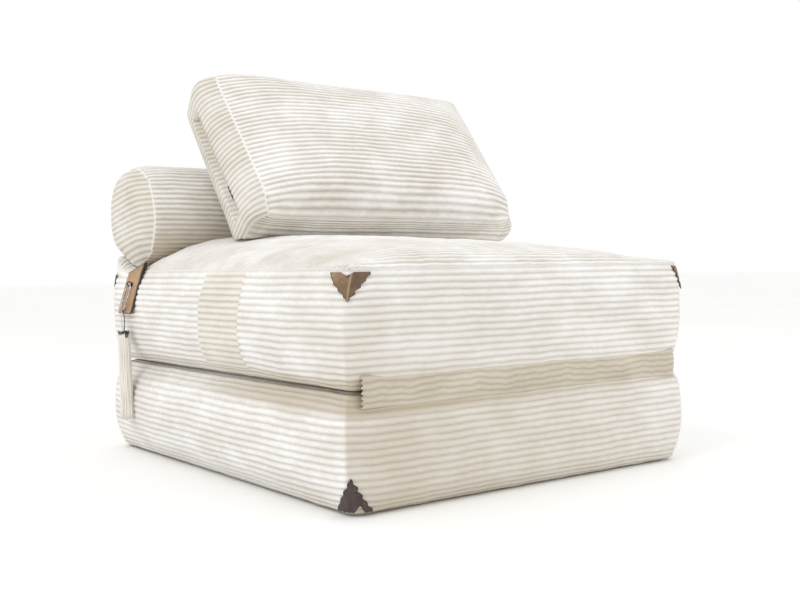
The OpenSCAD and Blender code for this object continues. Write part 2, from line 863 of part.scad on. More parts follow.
module at_snap_ring() {
  at_tag() translate([-eye_out, 0, 0]) children();
}

module bow(turn) {
  rotate([0, 90, 0]) rotate([0, 0, turn]) rotate_extrude(angle = 180) translate([bow_r, 0]) circle(wire_r);
}

module snap_ring() {
  color("silver") at_snap_ring() {
    translate([0, 0, bow_top]) bow(90);
    translate([0, 0, bow_low]) bow(-90);
    translate([0, bow_r, bow_low]) cylinder(r = wire_r, h = ring_side);
  }
}

module snap_ring_gate() {
  color("silver") at_snap_ring() translate([0, -bow_r, bow_low + gate_gap])
    cylinder(r = wire_r * 0.9, h = ring_side - 2 * gate_gap);
}

// Tassel, hanging straight down from the snap ring's lower bow

hang_x = -eye_out * cos(tag_tilt) + (bow_low - bow_r) * sin(tag_tilt);
hang_z = eye_out * sin(tag_tilt) + (bow_low - bow_r) * cos(tag_tilt);
small_ring_r = 4.6;
small_ring_wire = 0.9;
cord_r = 1.1;
loop_r = 3.2;
ring_play = 0.6;
ring_drop = small_ring_r - small_ring_wire - wire_r - ring_play;
loop_top = -ring_drop - small_ring_r + small_ring_wire + cord_r + sheet_gap;
cap_h = 10;
cap_top = loop_top - loop_len;

module at_tassel() {
  translate([tag_fold_x + hang_x, tag_y, tag_fold_z + hang_z]) children();
}

module tassel_ring() {
  color("silver") at_tassel() translate([0, 0, -ring_drop]) wire_ring(small_ring_r, small_ring_wire);
}

module tassel_loop() {
  color("#2b2724") at_tassel() {
    translate([0, 0, loop_top - loop_r]) rotate([0, 90, 0]) rotate([0, 0, 90])
      rotate_extrude(angle = 180) translate([loop_r, 0]) circle(cord_r);
    for (sy = [-1, 1]) translate([0, sy * loop_r, cap_top])
      cylinder(r = cord_r, h = loop_top - loop_r - cap_top);
  }
}

module tassel_cap() {
  color("#2b2724") at_tassel() translate([0, 0, cap_top - cap_h])
    linear_extrude(cap_h) rounded_rect(skirt_d - 3, skirt_w - 3, 8);
}

// The skirt is fluted like a bundle of strands
strand_n = 20;

module tassel_skirt() {
  outline = [for (k = [0 : 2 * strand_n - 1])
    let (a = 180 * k / strand_n, r = k % 2 == 0 ? 1 : 0.9)
    [r * skirt_d / 2 * cos(a), r * skirt_w / 2 * sin(a)]];
  color(ivory) at_tassel() translate([0, 0, cap_top - cap_h - skirt_len])
    linear_extrude(skirt_len) polygon(outline);
}

lower_cover();
lower_wadding();
lower_foam();
base_cloth();
lower_corner_patch();
front_band_lower();
lower_zip();
lower_zip_slider();
lower_zip_pull();
upper_cover();
upper_wadding();
upper_foam();
side_band();
upper_corner_patches();
front_band_upper();
upper_zip();
upper_zip_slider();
upper_zip_pull();
seat_strip();
tag_tail();
bolster_cover();
bolster_fill();
bolster_strip();
bolster_zip();
bolster_zip_slider();
bolster_zip_pull();
pillow_cover();
pillow_fill();
pillow_zip();
pillow_zip_slider();
pillow_zip_pull();
leather_tag();
tag_rivet();
snap_ring();
snap_ring_gate();
tassel_ring();
tassel_loop();
tassel_cap();
tassel_skirt();
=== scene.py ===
# %% [markdown]
# # A folding sofa bed in broad corduroy
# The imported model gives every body, joint and solid, in metres. This lesson dresses it in cloth,
# leather and metal. Each piece is made where its solid stands, so nothing is fitted afterwards.

# %% The frame
from functools import partial
from math import atan2, copysign, cos, exp, hypot, pi, radians, sin, sqrt
import bmesh
import bpy
import numpy as np
from mathutils import Matrix, Vector
from mathutils.bvhtree import BVHTree


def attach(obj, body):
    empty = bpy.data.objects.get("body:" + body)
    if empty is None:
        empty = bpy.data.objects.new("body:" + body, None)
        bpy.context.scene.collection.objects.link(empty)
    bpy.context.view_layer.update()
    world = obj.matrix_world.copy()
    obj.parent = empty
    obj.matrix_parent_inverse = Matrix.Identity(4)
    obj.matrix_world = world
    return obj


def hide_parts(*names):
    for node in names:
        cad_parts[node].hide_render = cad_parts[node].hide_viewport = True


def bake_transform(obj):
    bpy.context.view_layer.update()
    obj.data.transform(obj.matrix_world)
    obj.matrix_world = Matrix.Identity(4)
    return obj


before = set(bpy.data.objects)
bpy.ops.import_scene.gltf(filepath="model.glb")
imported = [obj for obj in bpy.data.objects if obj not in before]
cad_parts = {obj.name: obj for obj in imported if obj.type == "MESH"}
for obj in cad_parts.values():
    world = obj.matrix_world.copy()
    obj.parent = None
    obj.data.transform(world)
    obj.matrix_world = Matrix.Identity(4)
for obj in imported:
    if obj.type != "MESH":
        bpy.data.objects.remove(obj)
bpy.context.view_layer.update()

scene = bpy.context.scene

# %% [markdown]
# ## Camera
# A product photographer stands low, a little left of the front corner, with a slightly long lens. The
# camera is placed by its position and by where it looks, its right and its up.

# %% Camera
yaw, pitch, roll = (radians(angle) for angle in (36.39, 1.8, -0.96))
ahead = Vector((sin(yaw) * cos(pitch), cos(yaw) * cos(pitch), -sin(pitch)))
level = Vector((cos(yaw), -sin(yaw), 0))
upward = level.cross(ahead)
cam_right = level * cos(roll) + upward * sin(roll)
cam_up = upward * cos(roll) - level * sin(roll)
camera = bpy.data.objects.new("Camera", bpy.data.cameras.new("Camera"))
scene.collection.objects.link(camera)
camera.matrix_world = Matrix.Translation((-1.3398, -1.8950, 0.4041)) @ Matrix(
    (cam_right, cam_up, -ahead)).transposed().to_4x4()
camera.data.lens = 47.97
camera.data.sensor_width = 36
camera.data.clip_end = 60
scene.camera = camera
print("camera looks", ahead)

# %% [markdown]
# ## Helpers for finishes
# Colours are picked as sRGB hex values, and a shader works in linear light, so one function turns them.
# Another sets a node's properties, which have small initials, and its sockets, by a link or a value.

# %% Finish helpers
def linear(code, alpha=1.0):
    parts = [int(code[k:k + 2], 16) / 255 for k in (1, 3, 5)]
    return [c / 12.92 if c <= 0.04045 else ((c + 0.055) / 1.055) ** 2.4 for c in parts] + [alpha]


def fill(node, *operands, **values):
    for key, value in [*enumerate(operands), *values.items()]:
        if str(key)[0].islower():
            setattr(node, key, value)
            continue
        socket = node.inputs[key.replace("_", " ") if isinstance(key, str) else key]
        if isinstance(value, bpy.types.NodeSocket):
            node.id_data.links.new(value, socket)
        else:
            socket.default_value = linear(value) if isinstance(value, str) else value


def add(tree, kind, *operands, out=0, stops=(), **values):
    """Adds a node and gives one of its outputs. Stops are a ramp's places and tones, hex or grey."""
    node = tree.nodes.new("ShaderNode" + kind)
    fill(node, *operands, **values)
    for k, (place, tone) in enumerate(stops):
        point = node.color_ramp.elements[k]
        point.position = place
        point.color = linear(tone) if isinstance(tone, str) else (tone, tone, tone, 1)
    return node.outputs[out]


def start_finish(name, **surface):
    """A new material, the means to add nodes to it, its shader and the place in the object."""
    made = bpy.data.materials.new(name)
    made.use_nodes = True
    shader = made.node_tree.nodes["Principled BSDF"]
    fill(shader, **surface)
    node = partial(add, made.node_tree)
    return made, node, shader, node("TexCoord", out="Object")

# %% [markdown]
# ## Corduroy
# Corduroy is a pile cloth: its tufts stand in ribs, here 11.5 mm apart, with a bare groove between. The
# meshes carry them as relief, and the second value of each mesh's map counts them. The finish paints
# shade into the grooves, rolls the crests to light, and lets the pile lie in brushed patches. A share on
# each point, called shade, mixes in more painted shade where the cloth turns into a fold.

# %% Corduroy finish
def corduroy(name, crest, groove, patch, narrow=1.7, shade="#B5A88E"):
    made, node, shader, place = start_finish(
        name, Roughness=0.92, Sheen_Weight=0.15, Sheen_Roughness=0.5, Specular_IOR_Level=0.1)
    # The thread ends make each rib waver by a tenth of its width
    count = node("SeparateXYZ", node("UVMap", uv_map="ribs"), out=1)
    waver = node("Math", node("TexNoise", Vector=place, Scale=42.0, Detail=3.0), 0.5, operation="SUBTRACT")
    count = node("Math", waver, 0.16, count, operation="MULTIPLY_ADD")
    # 0 on each rib's crest and 1 in its grooves
    off = node("Math", node("Math", count, 0.5, operation="PINGPONG"), -2.0, 1.0, operation="MULTIPLY_ADD")
    # Brushed patches, 60 to 160 mm long, and finer ones of 15 mm
    stretch = node("Mapping", place, Scale=(1, 1, 1.7))
    broad = node("TexNoise", Vector=stretch, Scale=9.0, Detail=5.0, Roughness=0.6)
    fine = node("TexNoise", Vector=stretch, Scale=75.0, Detail=3.0)
    fine = node("Math", fine, 0.28, operation="MULTIPLY")
    brushed = node("Math", broad, 0.72, fine, operation="MULTIPLY_ADD")
    body = node("MixRGB", node("ValToRGB", brushed, stops=[(0.40, 0.0), (0.62, 1.0)]), patch, crest)
    # Painted shade in the grooves, weaker where the pile lies worn
    worn = node("MapRange", Value=broad, From_Min=0.3, From_Max=0.7, To_Min=1.0, To_Max=0.5)
    depth = node("Math", node("Math", off, narrow, operation="POWER"), worn, operation="MULTIPLY")
    colour = node("MixRGB", depth, body, groove)
    # Painted shade where the cloth turns into a fold, and a painted highlight on a seam's ridge
    shaded = node("MixRGB", node("Attribute", attribute_name="shade", out="Fac"), colour, shade)
    seam = node("Math", node("Attribute", attribute_name="seam", out="Fac"), 2.5, operation="POWER")
    # Relief: the rib's round crest, then tufts of about 1.5 mm
    tufts = node("TexNoise", Vector=place, Scale=620.0, Detail=2.0)
    round_rib = node("Math", 1.0, node("Math", off, 2.0, operation="POWER"), operation="SUBTRACT")
    rib_bump = node("Bump", Height=round_rib, Strength=0.8, Distance=0.0016)
    fill(shader, Base_Color=node("MixRGB", seam, shaded, "#F6F4F0"),
         Normal=node("Bump", Height=tufts, Normal=rib_bump, Strength=0.35, Distance=0.0006))
    return made


# Copies of one ivory corduroy. The crisp one has lighter crests and more painted shade in its grooves. The
# shaded ones are darker all over, which is painted shade: on the left side band, the strip behind the
# bolster and the front band.
crisp_cord = corduroy("crisp_corduroy", "#FAF9F9", "#BCB2A2", "#ECE9E3", narrow=1.15)
ivory_cord = corduroy("ivory_corduroy", "#F5F4F4", "#CBC3B6", "#E7E4DF")
shaded_cord = corduroy("shaded_corduroy", "#EAE6DF", "#C5BBAB", "#E0DAD0")
shaded_band_cord = corduroy("shaded_band_corduroy", "#D1CABB", "#B4A995", "#C5BCAC", shade="#A09378")
print("corduroy finishes:", crisp_cord.name, ivory_cord.name, shaded_cord.name, shaded_band_cord.name)

# %% [markdown]
# ## How a padded cover is made
# A cover is sewn from flat panels and filled, so it is a box whose faces swell while its seams hold. It
# starts as a cube cut into cells, one row for each rib. Every point keeps its place in that box, from -1
# to 1, and every face its side: 0 and 1 are left and right, 2 and 3 front and rear, 4 and 5 bottom and
# top. A form moves the points to real places, air pressure puffs the panels, subdivision smooths them,
# and the ribs are raised last.

# %% Box of cells
def box_of_cells(cells):
    bm = bmesh.new()
    bmesh.ops.create_cube(bm, size=2)
    for axis, count in enumerate(cells):
        along = [e for e in bm.edges
                 if abs(abs((e.verts[0].co - e.verts[1].co)[axis]) - 2) < 1e-4]
        bmesh.ops.subdivide_edges(bm, edges=along, cuts=count - 1, use_grid_fill=True)
    bmesh.ops.recalc_face_normals(bm, faces=bm.faces)
    place = bm.verts.layers.float_vector.new("place")
    side = bm.faces.layers.int.new("side")
    for vert in bm.verts:
        vert[place] = vert.co
    for face in bm.faces:
        normal = face.normal
        axis = max(range(3), key=lambda k: abs(normal[k]))
        face[side] = 2 * axis + (normal[axis] > 0)
    return bm


def new_piece(name, bm):
    mesh = bpy.data.meshes.new(name)
    bm.to_mesh(mesh)
    bm.free()
    made = bpy.data.objects.new(name, mesh)
    scene.collection.objects.link(made)
    return made


def read(items, key, kind=float, size=1):
    """One value of each item, as one array."""
    values = np.empty(len(items) * size, dtype=kind)
    items.foreach_get(key, values)
    return values if size == 1 else values.reshape(-1, size)


def points_of(mesh, layer=None):
    if layer:
        return read(mesh.attributes[layer].data, "vector", size=3)
    return read(mesh.vertices, "co", size=3)


def sides_of(mesh):
    return read(mesh.attributes["side"].data, "value", np.int32)


def move_points(mesh, places):
    mesh.vertices.foreach_set("co", places.ravel())
    mesh.update()


def shown_mesh(piece):
    """The piece's mesh with its modifiers applied."""
    bpy.context.view_layer.update()
    return bpy.data.meshes.new_from_object(
        piece.evaluated_get(bpy.context.evaluated_depsgraph_get()))


def bake(piece):
    """Applies the modifiers, and shades the mesh smooth."""
    mesh = shown_mesh(piece)
    piece.modifiers.clear()
    piece.data = mesh
    return shade_smooth(mesh)


def shade_smooth(mesh):
    mesh.polygons.foreach_set("use_smooth", [True] * len(mesh.polygons))
    return mesh


def smooth(piece):
    maker = piece.modifiers.new("Smooth", "SUBSURF")
    maker.levels = maker.render_levels = 2
    maker.uv_smooth = "NONE"
    return bake(piece)


def finish_with(piece, *finishes):
    piece.data.materials.clear()
    for made in finishes:
        piece.data.materials.append(made)


def hand_over(piece, slot, stands_for, body, *finishes, stuffed=None):
    """Gives a piece its finishes, hides the nodes it stands for and hangs it on the body it rides on. Its
    slot is not used.
    """
    finish_with(piece, *finishes)
    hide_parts(*stands_for)
    if body:
        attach(piece, body)
    print(piece.name, "has", len(piece.data.polygons), "faces")

# %% Air pressure
MOST_PUFF = 0.004


def seam_points(mesh):
    box = points_of(mesh, "place")
    return np.nonzero((np.abs(np.abs(box) - 1) < 1e-4).sum(axis=1) >= 2)[0]


def puff(piece, pressure):
    """Fills the cover with air while its seams are held."""
    before = points_of(piece.data)
    group = piece.vertex_groups.new(name="seams")
    group.add([int(k) for k in seam_points(piece.data)], 1.0, "REPLACE")
    air = piece.modifiers.new("Air", "CLOTH")
    cloth = air.settings
    cloth.vertex_group_mass = "seams"
    cloth.use_pressure = True
    cloth.uniform_pressure_force = pressure
    cloth.effector_weights.gravity = 0
    cloth.quality = 4
    cloth.mass = 0.3
    cloth.bending_stiffness = 2.0
    air.collision_settings.use_self_collision = False
    air.collision_settings.use_collision = False
    for step in range(1, 21):
        scene.frame_set(step)
    blown = shown_mesh(piece)
    shift = points_of(blown) - before
    piece.modifiers.clear()
    piece.vertex_groups.clear()
    scene.frame_set(1)
    length = np.linalg.norm(shift, axis=1, keepdims=True) + 1e-9
    shift *= MOST_PUFF * np.tanh(length / MOST_PUFF) / length
    move_points(piece.data, before + shift)
    bpy.data.meshes.remove(blown)
    print(piece.name, "puffed by up to", round(float(np.abs(shift).max()) * 1000, 1), "mm")


def cushion(name, cells, form, pressure):
    """A cover that has its form and is puffed and smoothed, with its points."""
    piece = new_piece(name, box_of_cells(cells))
    move_points(piece.data, form(points_of(piece.data, "place")))
    puff(piece, pressure)
    smooth(piece)
    return piece, points_of(piece.data)

# %% Waves and ribs
def waves(points, size, seed, kinds=7):
    """A smooth field between about -1 and 1 that varies over the given size, in metres."""
    chance = np.random.default_rng(seed)
    total = np.zeros(len(points))
    for _ in range(kinds):
        way = chance.normal(size=3)
        way *= 2 * pi / (size * chance.uniform(0.7, 1.5)) / np.linalg.norm(way)
        total += np.sin(points @ way + chance.uniform(0, 2 * pi))
    return total / kinds ** 0.5 / 1.2


def crest(count):
    return np.abs(np.sin(pi * count)) ** 0.8


def unit(value):
    return np.clip(value, 0, 1)


def hump(value, width):
    """1 at zero, and smoothly down to nothing on both sides of it."""
    return np.exp(-(value / width) ** 2)


def window(value, half, edge):
    """1 inside plus or minus half, 0 beyond the edge outside it, and smooth between."""
    share = unit((half + edge - np.abs(value)) / edge)
    return share * share * (3 - 2 * share)


def mark(mesh, name, share):
    """Writes a share from 0 to 1 on every point, for a finish to read."""
    layer = mesh.attributes.get(name) or mesh.attributes.new(name, "FLOAT", "POINT")
    layer.data.foreach_set("value", unit(share).astype(np.float32))


SEAM_RIDGE = 0.0026


def raise_ribs(piece, count_ribs, height, seed, panels, calm, pressed=0.0):
    """Gives the mesh its rib map and lifts the ribs. Where a panel is sewn in, a fine ridge stands.
    Pressed faces keep their crests in place, and only their grooves sink."""
    mesh = piece.data
    base, box = points_of(mesh), points_of(mesh, "place")
    side = np.repeat(sides_of(mesh), read(mesh.polygons, "loop_total", np.int32))
    corner = read(mesh.loops, "vertex_index", np.int32)
    ribs = count_ribs(side, box[corner], base[corner])
    layer = mesh.uv_layers.get("ribs") or mesh.uv_layers.new(name="ribs")
    layer.data.foreach_set("uv", ribs.ravel())
    count = np.zeros(len(base))
    count[corner] = ribs[:, 1]
    on_panel, on_wall = np.zeros(len(base), bool), np.zeros(len(base), bool)
    in_panel = np.isin(side, panels)
    on_panel[corner[in_panel]] = True
    on_wall[corner[~in_panel]] = True
    lift = height * crest(count) * (1 + 0.2 * waves(base, 0.05, seed))
    lift[on_panel & on_wall] = SEAM_RIDGE
    lift += (height * (crest(count) - 1) - lift) * pressed
    # The finish paints these seam points lighter: a painted highlight on the ridge
    mark(mesh, "seam", on_panel & on_wall)
    lift *= calm
    move_points(mesh, base + read(mesh.vertex_normals, "vector", size=3) * lift[:, None])
    return base

# %% [markdown]
# ## The two sections
# Each section is a foam block in a sewn cover. Its long sides swell most, as cloth pulled over a block
# rounds off between the corners. The rows give the cover's profile from the bottom to the top: how far
# it steps in, and its height.

# %% Section sizes
HALF_W, HALF_L, CORNER = 0.403, 0.485, 0.024
TOP_SEAM, LID_RIBS = 0.400, 80
BOLSTER_R, BOLSTER_Y, BOLSTER_Z = 0.109, 0.375, 0.5193
UPPER_ZIP_Z, LOWER_ZIP_Z = 0.31465, 0.0995
BOLSTER_ZIP_UP = radians(22.5)
LEAN, TURN = radians(34.5), radians(6)
PILLOW_AT, PILLOW_HIGH = Vector((0.096, 0.120468, 0.465537)), 0.188
# Shares of the box that count as on its face, before and after the mesh is smoothed
ON_FACE, NEAR_FACE = 0.9999, 0.999
# A height that nothing presses on
CLEAR = 0.2


def outline(a, b, half_a, half_b, corner):
    """Places on a rounded rectangle. Points inside its edge lie on smaller copies of it."""
    inner = np.maximum(np.maximum(np.abs(a), np.abs(b)), 1e-9)
    x, y = a / inner * half_a, b / inner * half_b
    near_x = np.clip(x, corner - half_a, half_a - corner)
    near_y = np.clip(y, corner - half_b, half_b - corner)
    reach = np.hypot(x - near_x, y - near_y)
    keep = np.where(reach > corner, corner / np.maximum(reach, 1e-9), 1)
    return (near_x + (x - near_x) * keep) * inner, (near_y + (y - near_y) * keep) * inner


def swell(t):
    return 1 - unit(np.abs(t)) ** 4


def dome(t):
    return swell(t) ** 0.7


def profile(first, last, start, *parts):
    """Rows of an inset, a height and a share of the swell. Each part gives how many rows it has, and
    the inset and the height where it ends. The rows from first to last are the wall, which swells."""
    rows, low = [start], start
    for count, *high in parts:
        rows += [[p + (q - p) * k / count for p, q in zip(low, high)] for k in range(1, count + 1)]
        low = high
    share = [max(0.0, 1 - abs(2 * (k - first) / (last - first) - 1) ** 2.6) for k in range(len(rows))]
    return np.column_stack((rows, share))


def section_form(box, rows, crown, bulge):
    """bulge is how far the corners and, beyond them, the long sides' middles swell out."""
    a, b, c = box.T
    level = (c + 1) / 2 * (len(rows) - 1)
    inset, height, share = (np.interp(level, range(len(rows)), rows[:, k]) for k in range(3))
    # The cells are closer together near both ends, where the corners are round
    a = np.where(np.abs(a) < 1, np.sin(a * 0.45 * pi) / sin(0.45 * pi), a)
    corner = np.maximum(CORNER - inset * 0.3, 0.012)
    # The right side, which the camera sees edge on, keeps fuller
    x, y = outline(a, b, HALF_W - inset * np.where(a > 0, 0.5, 1), HALF_L - inset, corner)
    on_x, on_y = np.abs(a) > ON_FACE, np.abs(b) > ON_FACE
    x += np.where(on_x, np.sign(a) * bulge[1] * swell(y / (HALF_L - CORNER)) * share, 0)
    y += np.where(on_y, np.where(b < 0, -0.005, 0.0003) * swell(x / (HALF_W - CORNER)) * share, 0)
    x *= 1 + bulge[0] / HALF_W * share
    y *= 1 + np.where(y < 0, 0.006, 0) / HALF_L * share
    return np.column_stack((x, y, height + np.where(c > ON_FACE, crown(x, y), 0)))


def section_ribs(levels):
    """Ribs run across the top and bottom, and level round the sides."""
    def count(side, box, base):
        flat_side = side >= 4
        run = np.where(flat_side | (side == 2) | (side == 3), base[:, 0], base[:, 1])
        ribs = np.where(flat_side, (box[:, 1] + 1) / 2 * LID_RIBS, (box[:, 2] + 1) / 2 * levels)
        return np.column_stack((run * 10, ribs))
    return count

# %% Seat crown
def soft_least(p, q, width):
    """The lower of two surfaces, with a rounded crease between them."""
    blend = unit((q - p) / width * 0.5 + 0.5)
    return q + (p - q) * blend - width * blend * (1 - blend)


def seat_crown(x, y):
    """How high the seat stands above its seam."""
    free = (0.060 - 0.012 * x / HALF_W + 0.018 * y / HALF_L) * dome(x / HALF_W) * dome(y / HALF_L)
    # The seat moulds itself to the bolster's round underside
    under = np.sqrt(np.clip(BOLSTER_R ** 2 - (y - BOLSTER_Y) ** 2, 0, None))
    held = np.maximum(BOLSTER_Z - under, 0.4133) - 0.0055 - TOP_SEAM
    held = np.where(np.abs(y - BOLSTER_Y) < BOLSTER_R, held, CLEAR)
    # The pillow's lower rear edge dents it a little
    from_x, from_y = x - 0.096, y - 0.1205
    along = from_x * cos(TURN) + from_y * sin(TURN)
    forward = from_x * sin(TURN) - from_y * cos(TURN)
    dent = 0.0595 + np.where(forward > 0, forward * 0.687, -forward * 0.55)
    dent = np.where((np.abs(along) < 0.40) & (np.abs(forward) < 0.15), dent, CLEAR)
    # Behind the bolster's ends the cloth stands up in a lump
    lump = 0.036 * hump(np.abs(x) - 0.390, 0.027) * hump(y - 0.472, 0.032)
    return np.minimum(soft_least(free, held, 0.012), soft_least(free, dent, 0.010)) + lump


def flat(x, y):
    return np.zeros(len(x))

# %% Sections
upper_rows = profile(
    5, 20, (0.050, 0.2025),
    (2, 0.016, 0.2025), (1, 0.008, 0.2044), (2, 0.0015, 0.2190), (15, 0.0, TOP_SEAM))
lower_rows = profile(
    3, 16, (0.018, 0.0028),
    (1, 0.007, 0.0060), (2, 0.001, 0.0230), (12, 0.0015, 0.1720), (2, 0.009, 0.1895),
    (1, 0.017, 0.2008), (2, 0.050, 0.2018))


def section_shade(x, y, z):
    """A share of painted shade: between the sections, along the floor, on the front, on the front of the
    side walls and, faintly, on the top.
    """
    forward = np.clip((0.30 - y) / 0.60, 0.25, 1)
    between = 0.45 * hump(z - 0.2022, 0.013)
    shoulder = 0.62 * forward * window(z - 0.190, 0.010 + 0.008 * forward, 0.016)
    above = 0.42 * window(z - 0.2125, 0.005, 0.011)
    low = 0.5 * np.exp(-z / 0.012)
    # Painted shade on the front, which is turned from the light, most of all at its lower left
    turned = unit((x - y - 0.071) / 0.008 + 0.5) * (y < -0.4)
    front = 0.51 * unit((TOP_SEAM - z) / 0.27) * unit(0.72 - x) * turned
    side = 0.10 * unit((-0.15 - y) / 0.25) * (1 - turned) * (z > 0.2)
    lid = 0.02 * (z > TOP_SEAM + 0.002)
    shoulder *= 1 - 0.7 * turned * unit((x + 0.35) / 0.35)
    fold = np.maximum(np.maximum(between, above), shoulder)
    # Only the rim of the faces that meet gets the fold's painted shade
    fold *= 1 - window(x, 0.372, 0.015) * window(y, 0.454, 0.015)
    return np.clip(fold + low + front + side + lid, 0, 0.85)


def section(name, rows, crown, bulge, zip_z, seed):
    """A section's cushion, and a tree of its skin for laying things on."""
    levels = len(rows) - 1
    piece, base = cushion(name, (20, LID_RIBS, levels),
                          lambda box: section_form(box, rows, crown, bulge), 4.0)
    mesh = piece.data
    (x, y, z), (_, b, c) = base.T, points_of(mesh, "place").T
    on_top = c > NEAR_FACE
    # The cloth creeps on the foam, so the ribs waver up and down
    creep = 0.0009 * waves(base, 0.20, seed) + 0.0005 * waves(base, 0.07, seed + 1)
    z += (1 - unit(np.abs(c)) ** 6) * creep
    y += on_top * (1 - np.abs(b) ** 8) * 0.0018 * waves(base, 0.14, seed + 2)
    # The panels that lie on the floor and on each other stay flat
    z[:] = np.maximum(z, np.where(c < -NEAR_FACE, rows[0, 1], z))
    if crown is flat:
        z[:] = np.minimum(z, rows[-1, 1])
    # When the bed is open the two front walls meet, so neither swells past the fold line
    past = np.clip(-0.4885 - y, 0, None)
    y += past - 0.0028 * np.tanh(past / 0.0028)
    # The zip's tape holds the rear wall flat
    at_zip = window(x, 0.268, 0.012) * window(z - zip_z, 0.013, 0.007) * (y > 0.45)
    y += at_zip * (HALF_L - 0.0002 - y)
    # Above each front patch the seat's cover is gathered into ruffles
    if crown is seat_crown:
        out_x, out_y = np.abs(x) - HALF_W, -y - HALF_L
        near = hump(np.hypot(out_x, out_y), 0.040) * (z > TOP_SEAM - 0.001)
        ruffle = near * 0.0048 * np.abs(np.sin(pi * (out_x - out_y) / 0.0125)) ** 0.7
        base += np.column_stack((np.sign(x) * 0.6 * ruffle, -0.6 * ruffle, 0.7 * ruffle))
    move_points(mesh, base)
    # The corduroy finish mixes this painted shade into the colour
    mark(mesh, "shade", section_shade(x, y, z))
    # The faces that lie on each other are pressed flat
    pressed = np.maximum(window(z - 0.2020, 0.0026, 0.004), window(z, 0.0036, 0.003))
    skin = raise_ribs(piece, section_ribs(levels), 0.0023, seed + 3, (4, 5),
                      (1 - at_zip) * (1 + on_top), pressed)
    return piece, BVHTree.FromPolygons(skin.tolist(), [tuple(p.vertices) for p in mesh.polygons])


upper, upper_tree = section("upper_cushion", upper_rows, seat_crown, (0.014, 0.014), UPPER_ZIP_Z, 11)
hand_over(upper, "corduroy", ("upper_cover", "upper_wadding"), "upper_section",
          ivory_cord, crisp_cord, stuffed=0.9)
upper.data.polygons.foreach_set("material_index", (sides_of(upper.data) == 5).astype(np.int32))
lower, lower_tree = section("lower_cushion", lower_rows, flat, (0.017, 0.016), LOWER_ZIP_Z, 31)
hand_over(lower, "corduroy", ("lower_cover", "lower_wadding"), "lower_section", ivory_cord, stuffed=0.95)

# %% [markdown]
# ## Bolster
# The bolster is a roll with crowned ends. Its box has sixty cells round it, one for each rib, and its
# ends are square faces wrapped onto a disc.

# %% Bolster
def bolster_form(box):
    a, b, c = box.T
    ring = np.maximum(np.maximum(np.abs(b), np.abs(c)), 1e-9)
    eighth = pi / 4
    safe_b, safe_c = np.where(b == 0, 1e-9, b), np.where(c == 0, 1e-9, c)
    angle = np.where(np.abs(b) >= np.abs(c), c / safe_b * eighth + np.where(b < 0, pi, 0),
                     np.where(c > 0, 0.5, 1.5) * pi - b / safe_c * eighth)
    # The cells are closer together near the ends
    places = [0, 0.085, 0.165, 0.240, 0.300, 0.352, 0.381, 0.393]
    x = np.sign(a) * np.interp(np.abs(a) * 7, range(8), places)
    round_end = np.interp(np.abs(x), [0.35, 0.381, 0.393], [1.0, 0.995, 0.972])
    cap = np.abs(a) > ON_FACE
    reach = BOLSTER_R * round_end * np.where(cap, ring, 1.0) - 0.0015
    y, z = reach * np.cos(angle), np.maximum(reach * np.sin(angle), 0.0045 - BOLSTER_R)
    z += np.where(z > 0, 0.011 * (z / BOLSTER_R) ** 2, 0)
    # The caps are stuffed full, apart from their lowest part, which lies over the leather tag
    stuffed = 0.003 + 0.026 * unit((z + BOLSTER_R) / 0.050) ** 2 + 0.008 * unit(z / BOLSTER_R)
    x += np.where(cap, np.sign(a) * stuffed * unit(1 - ring ** 9) ** 0.45, 0)
    return np.column_stack((x, y + BOLSTER_Y, z + BOLSTER_Z))


def bolster_ribs(side, box, base):
    b, c = box[:, 1], box[:, 2]
    # Count cells round the square: 15 to a side
    turn = np.select(
        [side == 3, side == 5, side == 2, side == 4],
        [(c + 1) * 7.5, 15 + (1 - b) * 7.5, 30 + (1 - c) * 7.5, 45 + (b + 1) * 7.5], default=0)
    cap = side < 2
    # The caps are cut a little askew
    askew = (base[:, 2] - BOLSTER_Z + 0.16 * base[:, 1]) / 0.0120
    return np.column_stack((np.where(cap, base[:, 1], base[:, 0]) * 10, np.where(cap, askew, turn)))


def from_bolster(points):
    """The way from the bolster's axis to each point, and its length."""
    way = points[:, 1:] - (BOLSTER_Y, BOLSTER_Z)
    return way, np.hypot(*way.T)


bolster, body = cushion("bolster_cushion", (14, 15, 15), bolster_form, 4.0)
body[:, 2] += 0.0010 * waves(body, 0.20, 51) + 0.0004 * waves(body, 0.06, 52)
# The zip's tape holds the back flat
way, far = from_bolster(body)
arc = (np.arctan2(way[:, 1], way[:, 0]) - BOLSTER_ZIP_UP) * BOLSTER_R
at_zip = window(body[:, 0], 0.288, 0.012) * window(arc, 0.013, 0.007)
body[:, 1:] += way / far[:, None] * (at_zip * (0.1078 - far))[:, None]
move_points(bolster.data, body)
# Painted shade: on the caps, and on the lower front of the body
low_front = unit((0.55 - body[:, 2]) / 0.10) * (body[:, 1] < BOLSTER_Y)
on_cap = np.abs(points_of(bolster.data, "place")[:, 0]) > NEAR_FACE
mark(bolster.data, "shade", np.where(on_cap, 0.30, 0.75 * low_front))
raise_ribs(bolster, bolster_ribs, 0.0020, 53, (0, 1), 1 - at_zip)
hand_over(bolster, "corduroy", ("bolster_cover", "bolster_fill"), "bolster", crisp_cord, stuffed=0.9)

# %% [markdown]
# ## Pillow
# A box pillow has two panels and a band between them. It is shaped lying flat in its own axes, and then
# leaned against the bolster.

# %% Pillow
to_pillow = (Matrix.Translation(PILLOW_AT) @ Matrix.Rotation(TURN, 4, "Z")
             @ Matrix.Rotation(-LEAN, 4, "X") @ Matrix.Translation((0, -0.051, PILLOW_HIGH)))
PILLOW_WIDE, ZIP_Y = 0.370, 0.036


